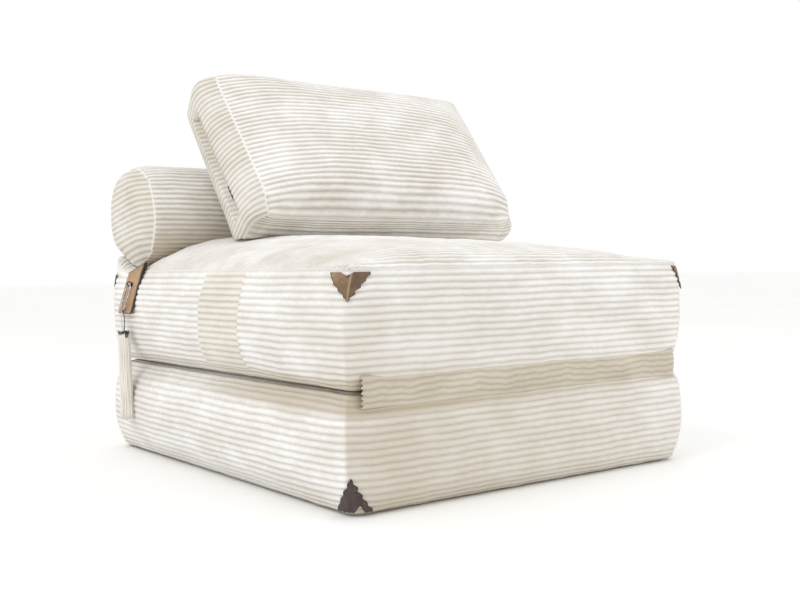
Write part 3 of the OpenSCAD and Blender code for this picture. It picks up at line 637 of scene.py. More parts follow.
def pillow_form(box):
    a, b, c = box.T
    x, z = outline(a, c, PILLOW_WIDE, PILLOW_HIGH, np.where(c > 0, 0.018, 0.020))
    band = np.abs(b) < ON_FACE
    puffed = 0.023 * (1 - np.abs(b) ** 2.5)
    puffed *= np.where((b > 0.1) & (a < 0), 1 - 0.35 * unit((b - 0.1) / 0.4), 1)
    sides = np.where(z > 0, 1.0, 0.75 + 0.25 * swell(z / 0.18))
    x += np.where(band & (np.abs(a) > ON_FACE), np.sign(a) * puffed * sides, 0)
    # The upper left end of the band stands in a roll, while the seam in front of it droops
    left = unit(-x / PILLOW_WIDE)
    roll = np.where(c > 0, 0.3 + 0.7 * left ** 2, 0.3) * swell(x / np.where(c > 0, 0.45, 0.35))
    z += np.where(band & (np.abs(c) > ON_FACE), np.sign(c) * puffed * roll, 0)
    z -= 0.017 * unit(z / PILLOW_HIGH) * left ** 3 * unit(-b) ** 1.5
    # Its own weight spreads the pillow's lower corners
    near_rear = unit(1 - np.abs(b - 0.3))
    x *= 1 + np.where(x > 0, 0.075, 0.025) * unit((-z - 0.10) / 0.09) ** 2 * near_rear ** 0.5
    z -= 0.014 * unit(x / PILLOW_WIDE) ** 4 * unit(-z / PILLOW_HIGH) ** 2 * near_rear
    full = (swell(x / PILLOW_WIDE) * swell(z / PILLOW_HIGH)) ** 0.85
    crown = np.where(b < 0, -0.046, 0.026) * full * (1 - 0.8 * z)
    rear = 0.090 - 0.006 * np.clip(z / PILLOW_HIGH, -1, 1)
    # The front panel runs on under the lower edge
    front = 0.053 - 0.026 * unit((-z - 0.14) / 0.048)
    return np.column_stack((x, b * np.where(b < 0, front, rear) + np.where(band, 0, crown), z))


def pillow_ribs(side, box, base):
    ribs = np.where(side >= 4, (box[:, 1] + 1) * 4.5, (box[:, 2] + 1) * 16 + 0.5 * (side < 2))
    run = np.where(side < 2, box[:, 1] * 0.051, box[:, 0] * 0.368)
    return np.column_stack((run * 10, ribs))


pillow, body = cushion("pillow_cushion", (36, 9, 32), pillow_form, 3.0)
x, y, z = body.T
z += 0.0012 * waves(body, 0.18, 61) + 0.0005 * waves(body, 0.06, 62)
# The zip's tape draws the left side in
at_zip = window(z + 0.002, 0.136, 0.006) * window(y - ZIP_Y, 0.0125, 0.006) * (x < -0.3)
x += at_zip * (-0.3692 - x)
move_points(pillow.data, body)
# Painted shade: on the band's two ends, and a trace along the lower edge
mark(pillow.data, "shade", 0.02 * unit((-0.165 - z) / 0.015) + 0.26 * ((np.abs(x) > 0.362) & (y > -0.05)))
raise_ribs(pillow, pillow_ribs, 0.0019, 63, (2, 3), 1 - at_zip)
placed = points_of(pillow.data) @ np.array(to_pillow.to_3x3()).T + np.array(to_pillow.translation)
# The bolster presses the pillow's back in, and the seat its lower edge
way, far = from_bolster(placed)
need = BOLSTER_R + 0.0055 + 0.011 * unit(way[:, 1] / BOLSTER_R) ** 3
x, y, z = placed.T
push = np.clip(need - far, 0, None) * (np.abs(x) < 0.43)
placed[:, 1:] += way / far[:, None] * push[:, None]
seat = TOP_SEAM + seat_crown(x, y) + 0.0085
z[:] = np.where((np.abs(x) < 0.40) & (y < BOLSTER_Y - 0.02), np.maximum(z, seat), z)
move_points(pillow.data, placed)
print("pillow pressed in by up to", round(float(push.max()) * 1000, 1), "mm")
hand_over(pillow, "corduroy", ("pillow_cover", "pillow_fill"), "pillow", crisp_cord, stuffed=0.85)

# %% [markdown]
# ## Cloth cut from a cushion's skin
# The side band and the leather patches lie on the cushions. A ray cast from outside finds the skin,
# which is the cushion before its ribs rise by about 2 mm.

# %% Finding the skin
def lay(tree, point, inward):
    """The place on the skin that a ray from outside hits."""
    way = Vector(inward).normalized()
    hit = tree.ray_cast(Vector(point) - way * 0.2, way)[0]
    return tree.find_nearest(Vector(point))[0] if hit is None else hit


def grid_sheet(name, columns, rows, facing, place, thick, ribs=None, marks=None, hole=None):
    """A sheet of cells: place gives the point for each share across and up."""
    bm = bmesh.new()
    bmesh.ops.create_grid(bm, x_segments=columns, y_segments=rows, size=0.5)
    uv = bm.loops.layers.uv.new("ribs")
    layers = {key: bm.verts.layers.float.new(key) for key in marks or {}}
    share = {v: (v.co.x + 0.5, v.co.y + 0.5) for v in bm.verts}
    for face in bm.faces:
        for loop in face.loops:
            loop[uv].uv = ribs(*share[loop.vert]) if ribs else share[loop.vert]
    if hole:
        # One cell is cut out, and its upper edge drawn together
        spot = Vector(hole) - Vector((0.5, 0.5, 0))
        nearest = min(bm.faces, key=lambda face: (face.calc_center_median() - spot).length)
        top = sorted(nearest.verts, key=lambda v: v.co.y)[2:]
        middle = (share[top[0]][0] + share[top[1]][0]) / 2
        for vert in top:
            share[vert] = (middle + (share[vert][0] - middle) * 0.3, share[vert][1])
        bmesh.ops.delete(bm, geom=[nearest], context="FACES_ONLY")
    for vert, (across, up) in share.items():
        vert.co = place(across, up)
        for key, layer in layers.items():
            vert[layer] = marks[key](across, up)
    bm.normal_update()
    if next(iter(bm.faces)).normal.dot(Vector(facing)) < 0:
        bmesh.ops.reverse_faces(bm, faces=bm.faces)
    piece = new_piece(name, bm)
    wall = piece.modifiers.new("Wall", "SOLIDIFY")
    wall.thickness = thick
    wall.offset = -1
    wall.use_even_offset = False
    bake(piece)
    return piece

# %% [markdown]
# ## Front band
# One strip of corduroy, sewn along both sections, is the bed's hinge. It is a fine grid whose rows carry
# the ribs.


def band_ribs(across, up):
    """Five ribs that run together and apart along the band."""
    return across * 7.6, up * 5 + sin(pi * up) * (
        0.16 * sin(across * 19) + 0.12 * sin(across * 47 + 2) + 0.08 * sin(across * 113))


def band_place(across, up):
    x = (across * 2 - 1) * 0.3815
    z = 0.1745 + 0.0555 * up
    bow = sin(pi * up) ** 0.7
    ripple = 0.0007 * sin(x * 41 + 3 * up) + 0.0005 * sin(x * 93 + 1)
    edge = min(1.0, (1 - abs(across * 2 - 1)) * 30)
    y = -0.4862 - 0.0068 * bow * edge ** 0.3 - 0.0012 * crest(band_ribs(across, up)[1]) + ripple * bow
    # The pile's tufts make the cut ends jagged
    jag = 0.0022 * sin(z * 2 * pi / 0.0083) * (1 if across > 0.5 else -1)
    end = max(0.0, abs(across * 2 - 1) - 0.985) / 0.015
    return Vector((x + jag * end, y, z + 0.0006 * sin(x * 30)))


# The band gets a darker copy of the corduroy: painted shade for the front crevice between the sections
band = grid_sheet("front_band", 300, 40, (0, -1, 0), band_place, 0.0014, band_ribs)
hand_over(band, "band_fabric", ("front_band_lower", "front_band_upper"), None, shaded_band_cord)
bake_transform(band)

# %% [markdown]
# ## Side band
# A second strip stands upright on the left side. Its ribs lie half a rib off from the cover's own, and
# it is a little darker: a darker copy of the corduroy paints shade on it.

# %% Side band
SIDE_BAND = (0.166, 0.192)


def side_band_ribs(across, up):
    return across * 1.66, up * 15.4 + 0.45


def side_band_place(across, up):
    z = 0.2215 + 0.1795 * up
    jag = 0.0011 * sin(z * 2 * pi / 0.0057) * max(0.0, abs(2 * across - 1) * 8 - 7)
    y = -0.074 + (0.5 - across) * SIDE_BAND[0] + 0.003 * sin(up * 5) - 0.020 * sin(pi * up) + jag
    edge = min(across, 1 - across) * SIDE_BAND[0]
    raised = 0.0026 * min(1.0, edge / 0.003) ** 0.5
    rib = 0.0019 * crest(side_band_ribs(across, up)[1]) * min(1.0, 0.4 + edge / 0.01)
    return lay(upper_tree, (-HALF_W, y, z), (1, 0, 0)) - Vector((raised + rib, 0, 0))


side_band = grid_sheet("side_band_cloth", 40, 124, (-1, 0, 0), side_band_place, 0.0012, side_band_ribs)
hand_over(side_band, "corduroy", ("side_band",), "upper_section", shaded_cord)

# %% [markdown]
# ## Leather patches
# Each patch is a triangle of thin brown leather with pinked edges and a creased middle, pressed round
# the corner. The leather is vegetable tanned and polished: it shows pores and a burnished edge.

# %% Leather finish
def leather(name, light, dark, edge, gloss):
    made, node, shader, place = start_finish(name, Roughness=gloss, Specular_IOR_Level=0.45)
    cloud = node("TexNoise", Vector=place, Scale=38.0, Detail=6.0, Roughness=0.65)
    tone = node("ValToRGB", cloud, stops=[(0.32, dark), (0.66, light)])
    # The rim share darkens the burnished edge and, on the patches, paints shade as well
    mixed = node("MixRGB", node("Attribute", attribute_name="rim", out="Fac"), tone, edge)
    # Painted highlight: a lighter line on a patch's raised fold and on the tag's rolled rear edge
    worn = node("MixRGB", node("Attribute", attribute_name="rubbed", out="Fac"), mixed, "#C7AC88")
    # Grain cells of 1.2 mm, drawn a little coarser than the hide's own
    grain = node("TexVoronoi", Vector=place, Scale=700.0, feature="DISTANCE_TO_EDGE")
    creases = node("TexNoise", Vector=place, Scale=90.0, Detail=4.0)
    low = node("Bump", Height=creases, Strength=0.4, Distance=0.0012)
    fill(shader, Base_Color=worn,
         Normal=node("Bump", Height=grain, Normal=low, Strength=0.35, Distance=0.0004))
    return made


brown_leather = leather("vegetable_tanned_leather", "#9B7D58", "#664E39", "#2E2019", 0.5)
dark_leather = leather("waxed_leather", "#51433F", "#3D312E", "#241B17", 0.55)
tan_leather = leather("saddle_leather", "#BE9A72", "#9C774F", "#33231A", 0.45)
print("leathers:", brown_leather.name, dark_leather.name, tan_leather.name)

# %% Corner patches
def patch_point(tree, sx, sy, along, z, out):
    """A place on the corner's skin: along runs round the corner, from its middle."""
    arc = CORNER * pi / 4
    angle = atan2(sy, sx) + max(-1.0, min(1.0, along / arc)) * pi / 4
    way = Vector((cos(angle), sin(angle), 0))
    side = Vector((-way.y, way.x, 0)) * copysign(max(0.0, abs(along) - arc), along)
    start = Vector((sx * (HALF_W - CORNER), sy * (HALF_L - CORNER), z)) + way * CORNER + side
    hit = lay(tree, start, -way)
    if (hit - start).length > 0.05:
        hit = tree.find_nearest(start)[0]
    return hit + way * out


def zigzag(value):
    """A saw between 0 and 1, one tooth to each whole number."""
    return 1 - abs(2 * (value % 1) - 1)


def patch(name, tree, corner, seam, up_way, half, tall, finish, stands_for, body, shift=0.0):
    """A pinked triangle: its long edge lies on the seam and its point up or down the corner."""
    sx, sy = corner
    lower = up_way > 0

    def spot(across, up):
        side = 2 * across - 1
        teeth = zigzag(up * 4.5 + (0.1 if side > 0 else 0.6)) * (0.0038 if side > 0 else 0.0028)
        teeth *= min(1.0, 5 * (1 - up)) * min(1.0, 8 * up + 0.3)
        along = side * (half * (1 - up) ** 1.55 + teeth + 0.0006)
        if lower:
            along += (0.012 if side < 0 else 0.008) * side * (1 - up) ** 4
            cut = 0.014 * max(0.0, 1 - abs(side - 0.30) / 0.30) + 0.002 * zigzag(side * 4) * (side < 0)
        else:
            cut = 0.0065 * max(0.0, 1 - abs(side + 0.04) / 0.24)
        return along + shift * (1 - up), cut + (tall - cut) * up

    def from_fold(across, up):
        return spot(across, up)[0] - shift * (1 - up) - 0.0045 * (1 - up) ** 2

    def place(across, up):
        along, height = spot(across, up)
        fold = from_fold(across, up)
        raised = 0.0046 + 0.0016 * hump(fold, 0.0016) - 0.0006 * hump(fold + 0.004, 0.003)
        pucker = 0.0005 * sin(along * 500) * (1 - up) ** 2
        return patch_point(tree, sx, sy, along, seam + up_way * height, raised + pucker)

    def rim(across, up):
        edge = min(across, 1 - across) * 2 * half * (1 - up)
        burnished = max(0.0, 1 - min(edge, up * tall + 0.0012, (1 - up) * tall) / 0.0030)
        if lower:
            return burnished
        fold = from_fold(across, up)
        # Painted shade, carried in the rim share: the half past the fold is darker, the other half less so
        dim = 0.48 if fold > 0 else 0.40 * (1 - (1 - up) * (1 - across) * 1.3)
        stain = 1.3 * hump(hypot(fold + 0.003, up * tall), 0.004)
        # The rear patches get less of the dark edge and of the painted shade
        return max(burnished * (1 if sy < 0 else 0.3), dim * (1 if sy < 0 else 0.1), stain)

    def rubbed(across, up):
        return 0.0 if lower else 0.70 * hump(from_fold(across, up), 0.0010) * (1 - 0.5 * up)

    piece = grid_sheet(name, 60, 46, (sx, sy, 0), place, 0.0016, marks={"rim": rim, "rubbed": rubbed})
    hand_over(piece, "corner_leather", (stands_for,), body, finish)


for k, (corner, shift) in enumerate((((-1, -1), 0), ((1, -1), 0.018), ((1, 1), 0), ((-1, 1), -0.014))):
    patch(f"upper_patch_{k}", upper_tree, corner, 0.3965, -1, 0.036, 0.047, brown_leather,
          "upper_corner_patches", "upper_section", shift)
patch("lower_patch", lower_tree, (-1, -1), 0.0070, 1, 0.030, 0.060, dark_leather,
      "lower_corner_patch", "lower_section")

# %% [markdown]
# ## Strip behind the bolster
# The bolster hangs on one strip of corduroy, sewn to the seat's rear seam and to the bolster's back.

# %% Bolster strip
STRIP_HALF = 0.347


def strip_place(across, up):
    z = 0.392 + 0.135 * up
    x = (across * 2 - 1) * STRIP_HALF
    y = float(np.interp(z, [0.392, 0.400, 0.408, 0.430, 0.4993, 0.527],
                        [0.4883, 0.4890, 0.4925, 0.4915, 0.4885, 0.4876]))
    pucker = 0.0007 * sin(x * 57 + 2 * up) * sin(pi * up)
    return Vector((x, y + pucker, z))


strip = grid_sheet("bolster_strip_cloth", 160, 36, (0, 1, 0), strip_place, 0.0013,
                   lambda across, up: (across * 7, up * 12))
# A darker copy of the corduroy paints shade on the strip behind the bolster
hand_over(strip, "corduroy", ("seat_strip", "bolster_strip"), None, shaded_cord)
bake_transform(strip)

# %% [markdown]
# ## Leather tag
# The tag is a strap of thick saddle leather, cut aslant at the top. Its edges are dyed dark, with a
# groove just inside them, and a small slot is punched above the ring. It leans out over the cushion, and
# the same leather makes the tail that holds it.

# %% Tag
TAG_FOLD = Vector((-0.40735, 0.341, 0.418))
TAG_HALF, TAG_LONG, TAG_THICK = 0.038, 0.112, 0.0035
to_tag = Matrix.Translation(TAG_FOLD) @ Matrix.Rotation(radians(17.5), 4, "Y")


def tag_spread(across):
    """The cells are closer together near the tag's long edges."""
    return sin((across - 0.5) * 0.9 * pi) / sin(0.45 * pi) / 2 + 0.5


def slant(across):
    """How much lower the aslant top is, from one edge to the other."""
    return 0.024 * across ** 0.9


def tag_place(across, up):
    spread = tag_spread(across)
    edge = min(spread, 1 - spread) * 2 * TAG_HALF
    round_off = 0.009 - sqrt(max(0.0, 0.009 ** 2 - max(0.0, 0.009 - edge) ** 2))
    low, high = round_off - TAG_LONG, 0.0045 - slant(spread)
    z = low + (high - low) * up
    y = (spread * 2 - 1) * TAG_HALF + 0.0011 * sin(z * 210) * max(0.0, 1 - spread * 4)
    groove = 0.0005 * hump(edge - 0.006, 0.0008)
    rolled = 0.0008 * exp(-edge / 0.0012)
    curl = -0.0006 * sin(pi * up)
    return to_tag @ Vector((groove + rolled + curl - TAG_THICK / 2, y, z))


def tag_rim(across, up):
    spread = tag_spread(across)
    front, rear = spread * 2 * TAG_HALF, (1 - spread) * 2 * TAG_HALF
    down, below = (1 - up) * TAG_LONG, up * TAG_LONG
    return max(0.0, min(1.0, 1.6 - front / 0.006), 1 - rear / 0.0012,
               1.3 - down / 0.0026, 1 - below / 0.0022)


# A painted highlight along the tag's rolled rear edge
def tag_rubbed(across, up):
    return 0.45 * hump((1 - across) * 2 * TAG_HALF - 0.0035, 0.0028)


tag = grid_sheet("tag_strap", 40, 46, (-1, 0, 0), tag_place, TAG_THICK - 0.0002,
                 marks={"rim": tag_rim, "rubbed": tag_rubbed}, hole=(0.50, 0.70, 0))
hand_over(tag, "tag_leather", ("leather_tag",), "tag", tan_leather)


def tail_place(across, up):
    y = TAG_FOLD.y + (across * 2 - 1) * TAG_HALF
    return Vector((-0.4053, y, TOP_SEAM + (0.0265 - slant(across)) * up))


tail = grid_sheet("tag_tail_strap", 24, 8, (-1, 0, 0), tail_place, 0.0019,
                  marks={"rim": lambda across, up: max(0.0, 1 - min(across, 1 - across, 1.2 - up) * 30)})
hand_over(tail, "tag_leather", ("tag_tail",), "upper_section", tan_leather)

# %% [markdown]
# ## Metal
# The snap ring, its gate and the small ring are polished nickel plate. Their solids are true to shape,
# so they stay and get this finish. The zips' sliders and pulls are darker cast zinc with a satin face,
# and the rivet is brass gone dark.

# %% Metal finishes
def metal(name, light, dark, rough, grain):
    made, node, shader, place = start_finish(name, Metallic=1.0)
    cloud = node("TexNoise", Vector=place, Scale=grain, Detail=5.0)
    worn = node("MapRange", Value=cloud, From_Min=0.3, From_Max=0.7, To_Min=rough * 0.7, To_Max=rough * 1.5)
    # Polishing scratches, drawn at 0.4 mm
    lines = node("TexNoise", Vector=node("Mapping", place, Scale=(1, 1, 9)), Scale=900.0, Detail=2.0)
    fill(shader, Base_Color=node("ValToRGB", cloud, stops=[(0.35, dark), (0.65, light)]), Roughness=worn,
         Normal=node("Bump", Height=lines, Strength=0.12, Distance=0.0002))
    return made


nickel = metal("polished_nickel", "#D0D0D8", "#9A9AA6", 0.20, 160.0)
cast_zinc = metal("antique_cast_zinc", "#6B665E", "#4A4640", 0.34, 240.0)
brass = metal("darkened_brass", "#3A322B", "#1E1916", 0.40, 240.0)
kinds = ("lower", "upper", "bolster", "pillow")
for finish, nodes in (
        (nickel, ("snap_ring", "snap_ring_gate", "tassel_ring")), (brass, ("tag_rivet",)),
        (cast_zinc, [f"{kind}_zip_{part}" for kind in kinds for part in ("slider", "pull")])):
    for name in nodes:
        finish_with(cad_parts[name], finish)
    print(finish.name, "on", *nodes)

# %% [markdown]
# ## Tassel
# The tassel hangs on a loop of twisted cord. A dark cord is wound round its neck, and the skirt is a
# bundle of ivory yarn. Each strand is a thin cone cut into lengths, so that it can wave.

# %% Cord and yarn finishes
def yarn(name, light, dark, twist, rough=0.85):
    made, node, shader, place = start_finish(
        name, Roughness=rough, Sheen_Weight=0.2, Specular_IOR_Level=0.2)
    # The ply's twist, drawn as slanting bands
    turn = node("TexWave", node("Mapping", place, Rotation=(0.6, 0.5, 0)), out="Fac",
                Scale=twist, Distortion=3.0, Detail=2.0)
    fuzz = node("TexNoise", Vector=place, Scale=300.0, Detail=4.0)
    mixed = node("Math", node("Math", turn, 0.45, operation="MULTIPLY"),
                 node("Math", fuzz, 0.55, operation="MULTIPLY"), operation="ADD")
    fill(shader, Base_Color=node("ValToRGB", mixed, stops=[(0.25, dark), (0.7, light)]),
         Normal=node("Bump", Height=mixed, Strength=0.5, Distance=0.0005))
    return made


dark_cord = yarn("waxed_dark_cord", "#4A4650", "#1F1C1E", 260.0, 0.5)
highlit_cord = yarn("highlit_grey_cord", "#E6E4F0", "#B9B7C8", 260.0, 0.5)
ivory_yarn = yarn("ivory_cotton_yarn", "#F7F4EE", "#DDD5C6", 150.0)
print("cords and yarn:", dark_cord.name, highlit_cord.name, ivory_yarn.name)

# %% Loop, neck and skirt
TASSEL = Vector((-0.446025, 0.341, 0.321776))
LEAN_ON = 0.06
LOOP_TOP, LOOP_R, CAP_TOP = -0.0036, 0.0032, -0.0476


def sweep(bm, path, radius):
    """A round cord along a path: a circle is extruded from point to point."""
    ahead = [(after - before).normalized() for before, after in zip(path[:1] + path, path[1:] + path[-1:])]
    start = Matrix.Translation(path[0]) @ ahead[0].to_track_quat("Z", "X").to_matrix().to_4x4()
    ring = bmesh.ops.create_circle(bm, cap_ends=False, segments=8, radius=radius, matrix=start)["verts"]
    first = edges = list({edge for vert in ring for edge in vert.link_edges})
    for k in range(1, len(path)):
        made = bmesh.ops.extrude_edge_only(bm, edges=edges)["geom"]
        edges = [item for item in made if isinstance(item, bmesh.types.BMEdge) and item.is_boundary]
        turn = ahead[k - 1].rotation_difference(ahead[k]).to_matrix().to_4x4()
        bmesh.ops.transform(bm, verts=[item for item in made if isinstance(item, bmesh.types.BMVert)],
                            matrix=Matrix.Translation(path[k]) @ turn @ Matrix.Translation(-path[k - 1]))
    for rim in (first, edges):
        bmesh.ops.contextual_create(bm, geom=rim)


def tassel_piece(name, bm, slot, stands_for, finish):
    bmesh.ops.recalc_face_normals(bm, faces=bm.faces)
    piece = new_piece(name, bm)
    shade_smooth(piece.data)
    hand_over(piece, slot, (stands_for,), "tassel", finish)


def loop_side(name, finish, first, last):
    """Part of the loop, from one share of its run to another. The loop runs up its front strand, over
    the small ring and down its rear strand, and bows out like a drop."""
    straight = LOOP_TOP - LOOP_R - CAP_TOP
    path = []
    for k in range(60):
        run = (first + (last - first) * k / 59) * (2 * straight + pi * LOOP_R)
        angle = min(pi, max(0.0, (run - straight) / LOOP_R))
        past = max(0.0, run - straight - pi * LOOP_R)
        z = CAP_TOP + min(run, straight) + LOOP_R * sin(angle) - past
        down = min(1.0, max(0.0, (LOOP_TOP - z) / (LOOP_TOP - CAP_TOP)))
        bow = 1 + 1.6 * sin(pi * down)
        path.append(TASSEL + Vector((0.0003 * sin(k * 1.7),
                                     -LOOP_R * cos(angle) * bow + LEAN_ON * z * down, z)))
    bm = bmesh.new()
    sweep(bm, path, 0.0010)
    tassel_piece(name, bm, "dark_cord", "tassel_loop", finish)


# The loop is one cord: its front half is dark, and its rear half gets a light grey finish, a painted
# highlight
loop_side("loop_front", dark_cord, 0.0, 0.505)
loop_side("loop_rear", highlit_cord, 0.495, 1.0)

bm = bmesh.new()
NECK_TURNS, PER_TURN = 4, 28
steps = NECK_TURNS * PER_TURN
turns = [(k / PER_TURN * 2 * pi, k / steps) for k in range(steps + 1)]
sweep(bm, [TASSEL + Vector((0.0100 * cos(turn), 0.0152 * sin(turn) + LEAN_ON * CAP_TOP,
                            CAP_TOP - 0.0072 + 0.0058 * up + 0.0011 * sin(turn * 3.3)))
           for turn, up in turns], 0.00125)
# The knot at the neck's front, with two short ends
for lean in (-1, 1):
    sweep(bm, [TASSEL + Vector((
        -0.0010 + lean * 0.0016, -0.0205 - 0.0016 * sin(t * pi) + lean * 0.0015 * cos(t * 5),
        CAP_TOP - 0.002 - 0.012 * t)) for t in (0, 0.2, 0.4, 0.6, 0.8, 1.0)], 0.0012)
tassel_piece("tassel_neck_cord", bm, "dark_cord", "tassel_cap", dark_cord)

STRANDS, SKIRT_LONG, STRAND_LONG = 118, 0.185, 0.195
GOLDEN_ANGLE = 2.39996
bm = bmesh.new()
which = bm.verts.layers.int.new("strand")
for k in range(STRANDS):
    for vert in bmesh.ops.create_cone(bm, cap_ends=True, segments=6, radius1=0.00135, radius2=0.00125,
                                      depth=STRAND_LONG)["verts"]:
        vert[which] = k
bmesh.ops.subdivide_edges(bm, edges=[e for e in bm.edges if e.calc_length() > 0.1], cuts=11)
chance = np.random.default_rng(71)
draws = [(chance.uniform(0.0003, 0.0010), chance.uniform(0, 0.007), chance.uniform(0, 6.28))
         for _ in range(STRANDS)]
for vert in bm.verts:
    # Strands fill the oval like seeds in a sunflower
    k = vert[which]
    ring, angle, (wave, cut, phase) = sqrt((k + 0.5) / STRANDS), k * GOLDEN_ANGLE, draws[k]
    down = 0.5 - vert.co.z / STRAND_LONG
    neck_in = 0.86 + 0.18 * min(1.0, down * 7) ** 0.7 + 0.10 * down
    sway = wave * sin(down * 11 + phase) * down
    # The skirt drifts a little towards the front
    vert.co = TASSEL + Vector((
        vert.co.x + 0.0108 * ring * cos(angle) * neck_in + sway,
        vert.co.y + 0.0162 * ring * sin(angle) * neck_in + sway + LEAN_ON * (CAP_TOP - down * SKIRT_LONG),
        CAP_TOP - 0.001 - down * (STRAND_LONG - 0.003 - cut)))
tassel_piece("tassel_strands", bm, "tassel_yarn", "tassel_skirt", ivory_yarn)

# %% [markdown]
# ## Zips
# Each zip has two woven tapes, sewn down along their outer edges, and a row of moulded teeth that lie
# left and right in turn. Real teeth are about 2.5 mm apart; these are 3.6 mm, so that they show.

# %% Zip finishes
def woven(name, light, dark, thread):
    """A plain weave: two sets of threads cross, thread metres apart."""
    made, node, shader, place = start_finish(name, Roughness=0.85, Specular_IOR_Level=0.2)
    bands = [node("TexWave", Vector=place, Scale=0.314 / thread, bands_direction=way, out="Fac")
             for way in "XZ"]
    cross = node("Math", node("Math", *bands, operation="ADD"), 0.35, operation="MULTIPLY")
    cloud = node("Math", node("TexNoise", Vector=place, Scale=60.0, Detail=4.0), 0.5, operation="MULTIPLY")
    mixed = node("Math", cross, cloud, operation="ADD")
    fill(shader, Base_Color=node("ValToRGB", mixed, stops=[(0.3, dark), (0.8, light)]),
         Normal=node("Bump", Height=cross, Strength=0.5, Distance=0.0004))
    return made


zip_tape = woven("woven_zip_tape", "#DDD6C6", "#B9B09D", 0.0009)
zip_teeth, node, shader, place = start_finish("ivory_moulded_teeth", Roughness=0.45)
cloud = node("TexNoise", Vector=place, Scale=300.0, Detail=3.0)
fill(shader, Base_Color=node("ValToRGB", cloud, stops=[(0.35, "#C9C0AF"), (0.65, "#E3DDD0")]),
     Normal=node("Bump", Height=cloud, Strength=0.2, Distance=0.0002))
TOOTH_PITCH, TOOTH_SIZE = 0.0036, (0.0028, 0.0044, 0.0016)
STITCH_PITCH, STITCH_SIZE = 0.008, (0.0045, 0.0007, 0.0006)
TAPE_WIDE, SECTION_ZIP, BOLSTER_ZIP, PILLOW_ZIP = 0.0074, 0.520, 0.560, 0.220
# How far the zips lie from the bed's middle and from the bolster's axis
REAR_ZIP_Y, BOLSTER_ZIP_R = 0.4856, 0.10836


def boxed(place, size):
    """The matrix that brings a unit cube or grid to a place and size."""
    return Matrix.Translation(place) @ Matrix.Diagonal((*size, 1))


def zipper(kind, at, long, body):
    """A zip in its own axes: x along it, y across it and z out of the cloth."""
    tapes, teeth = bmesh.new(), bmesh.new()
    for side in (-1, 1):
        cells = bmesh.ops.create_grid(tapes, x_segments=60, y_segments=3, size=0.5)["verts"]
        bmesh.ops.transform(
            tapes, verts=cells, matrix=boxed((0, side * 0.0072, 0.0004), (long, TAPE_WIDE, 1)))
    bmesh.ops.solidify(tapes, geom=tapes.faces, thickness=0.0007)
    for side in (-1, 1):
        for k in range(int(long / STITCH_PITCH)):
            bmesh.ops.create_cube(tapes, size=1, matrix=boxed(
                ((k + 0.5) * STITCH_PITCH - long / 2, side * 0.0092, 0.0008), STITCH_SIZE))
    bmesh.ops.recalc_face_normals(tapes, faces=tapes.faces)
    for k in range(int(long / TOOTH_PITCH)):
        bmesh.ops.create_cube(teeth, size=1, matrix=boxed(
            (k * TOOTH_PITCH - long / 2 + 0.002, 0.0008 * (-1) ** k, 0.0012), TOOTH_SIZE))
    bmesh.ops.bevel(teeth, geom=teeth.edges[:], offset=0.0005, segments=1, affect="EDGES",
                    profile=0.5, material=-1)
    for bm, name, slot, finish in ((tapes, "_zip_tapes", "zip_tape", zip_tape),
                                   (teeth, "_zip_teeth", "zip_metal", zip_teeth)):
        bmesh.ops.transform(bm, matrix=at, verts=bm.verts)
        hand_over(new_piece(kind + name, bm), slot, (kind + "_zip",), body, finish)


for kind, up, long, body, to_back in (
        ("lower", -pi / 2, SECTION_ZIP, "lower_section", (0, REAR_ZIP_Y, LOWER_ZIP_Z)),
        ("upper", -pi / 2, SECTION_ZIP, "upper_section", (0, REAR_ZIP_Y, UPPER_ZIP_Z)),
        ("bolster", BOLSTER_ZIP_UP - pi / 2, BOLSTER_ZIP, "bolster", (0, BOLSTER_Y, BOLSTER_Z))):
    at = Matrix.Translation(to_back) @ Matrix.Rotation(up, 4, "X")
    zipper(kind, at @ Matrix.Translation((0, 0, BOLSTER_ZIP_R if kind == "bolster" else 0)), long, body)
zipper("pillow", to_pillow @ Matrix.Translation((-0.3702, ZIP_Y, 0)) @ Matrix.Rotation(-pi / 2, 4, "Y"),
       PILLOW_ZIP, "pillow")

# %% [markdown]
# ## Foam and base cloth
# The foam shows only when a cover is off. The underside is a coarse cloth with small rubber dots, which
# keep the bed from sliding.

# %% Inner and under finishes
foam, node, shader, place = start_finish("cut_foam", Roughness=0.95, Specular_IOR_Level=0.1)
# Open cells of about 1.5 mm
cells = node("TexVoronoi", Vector=place, Scale=650.0, out="Distance")
fill(shader, Base_Color=node("ValToRGB", cells, stops=[(0.1, "#CDBE8E"), (0.5, "#EFE3B8")]),
     Normal=node("Bump", Height=cells, Strength=0.4, Distance=0.0008))

base, node, shader, place = start_finish("dotted_base_cloth", Roughness=0.9, Specular_IOR_Level=0.2)
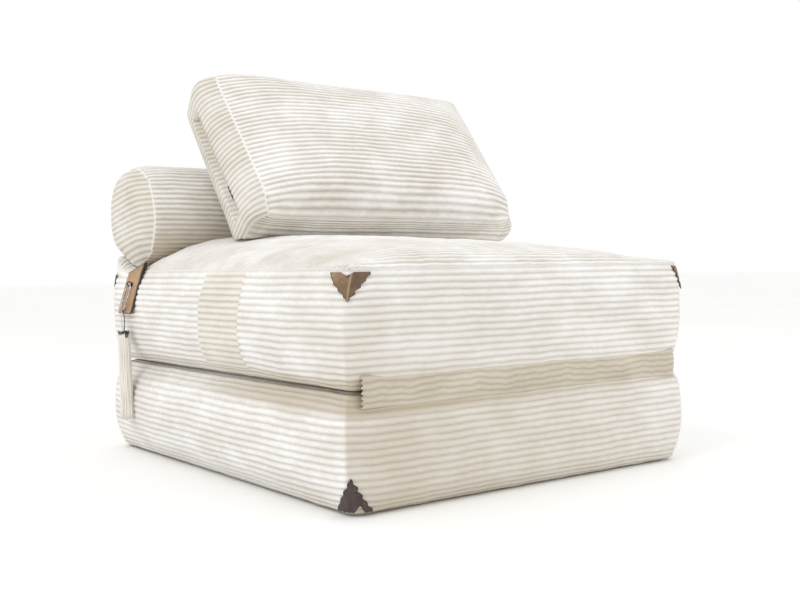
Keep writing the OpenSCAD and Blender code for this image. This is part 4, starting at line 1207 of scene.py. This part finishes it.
# Dots 3 mm across on a 10 mm grid
dots = node("TexVoronoi", Vector=place, Scale=100.0, Randomness=0.0, voronoi_dimensions="2D",
            out="Distance")
dot = node("ValToRGB", dots, stops=[(0.14, 1.0), (0.18, 0.0)])
weave = node("TexNoise", Vector=place, Scale=500.0, Detail=3.0)
cloth = node("ValToRGB", weave, stops=[(0.35, "#7C776E"), (0.65, "#979186")])
low = node("Bump", Height=weave, Strength=0.4, Distance=0.0004)
fill(shader, Base_Color=node("MixRGB", dot, cloth, "#4B4843"),
     Normal=node("Bump", Height=dot, Normal=low, Strength=0.6, Distance=0.0008))

for name, finish in (("lower_foam", foam), ("upper_foam", foam), ("base_cloth", base)):
    finish_with(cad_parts[name], finish)
print("finishes:", foam.name, base.name)

# %% [markdown]
# ## Light and floor
# The photograph is bright and even, as in a white studio. A white floor and surround give soft light
# from everywhere, and one large lamp at the upper left gives the ribs their shading.

# %% Studio
bm = bmesh.new()
bmesh.ops.create_grid(bm, x_segments=2, y_segments=2, size=30)
floor = new_piece("studio_floor", bm)
floor_finish, node, shader, place = start_finish("floor_paint", Roughness=0.9)
tone = node("TexNoise", Vector=place, Scale=0.6)
fill(shader, Base_Color=node("ValToRGB", tone, stops=[(0.3, "#FAFAF9"), (0.7, "#FCFCFB")]))
finish_with(floor, floor_finish)

scene.world = bpy.data.worlds.new("Studio")
scene.world.use_nodes = True
fill(scene.world.node_tree.nodes["Background"], Color=(1, 1, 1, 1), Strength=1.0)


def lamp(name, place, target, size, power):
    light = bpy.data.lights.new(name, "AREA")
    light.size = size
    light.energy = power
    made = bpy.data.objects.new(name, light)
    scene.collection.objects.link(made)
    made.location = place
    made.rotation_euler = (Vector(target) - Vector(place)).to_track_quat("-Z", "Y").to_euler()


lamp("Key", (-3.0, -0.6, 3.2), (0, 0, 0.3), 1.6, 30)
lamp("Front", (2.6, -2.4, 1.3), (0.5, -0.4, 0.3), 1.2, 13)
scene.view_settings.view_transform = "Standard"
print("lamps:", [item.name for item in bpy.data.lights])
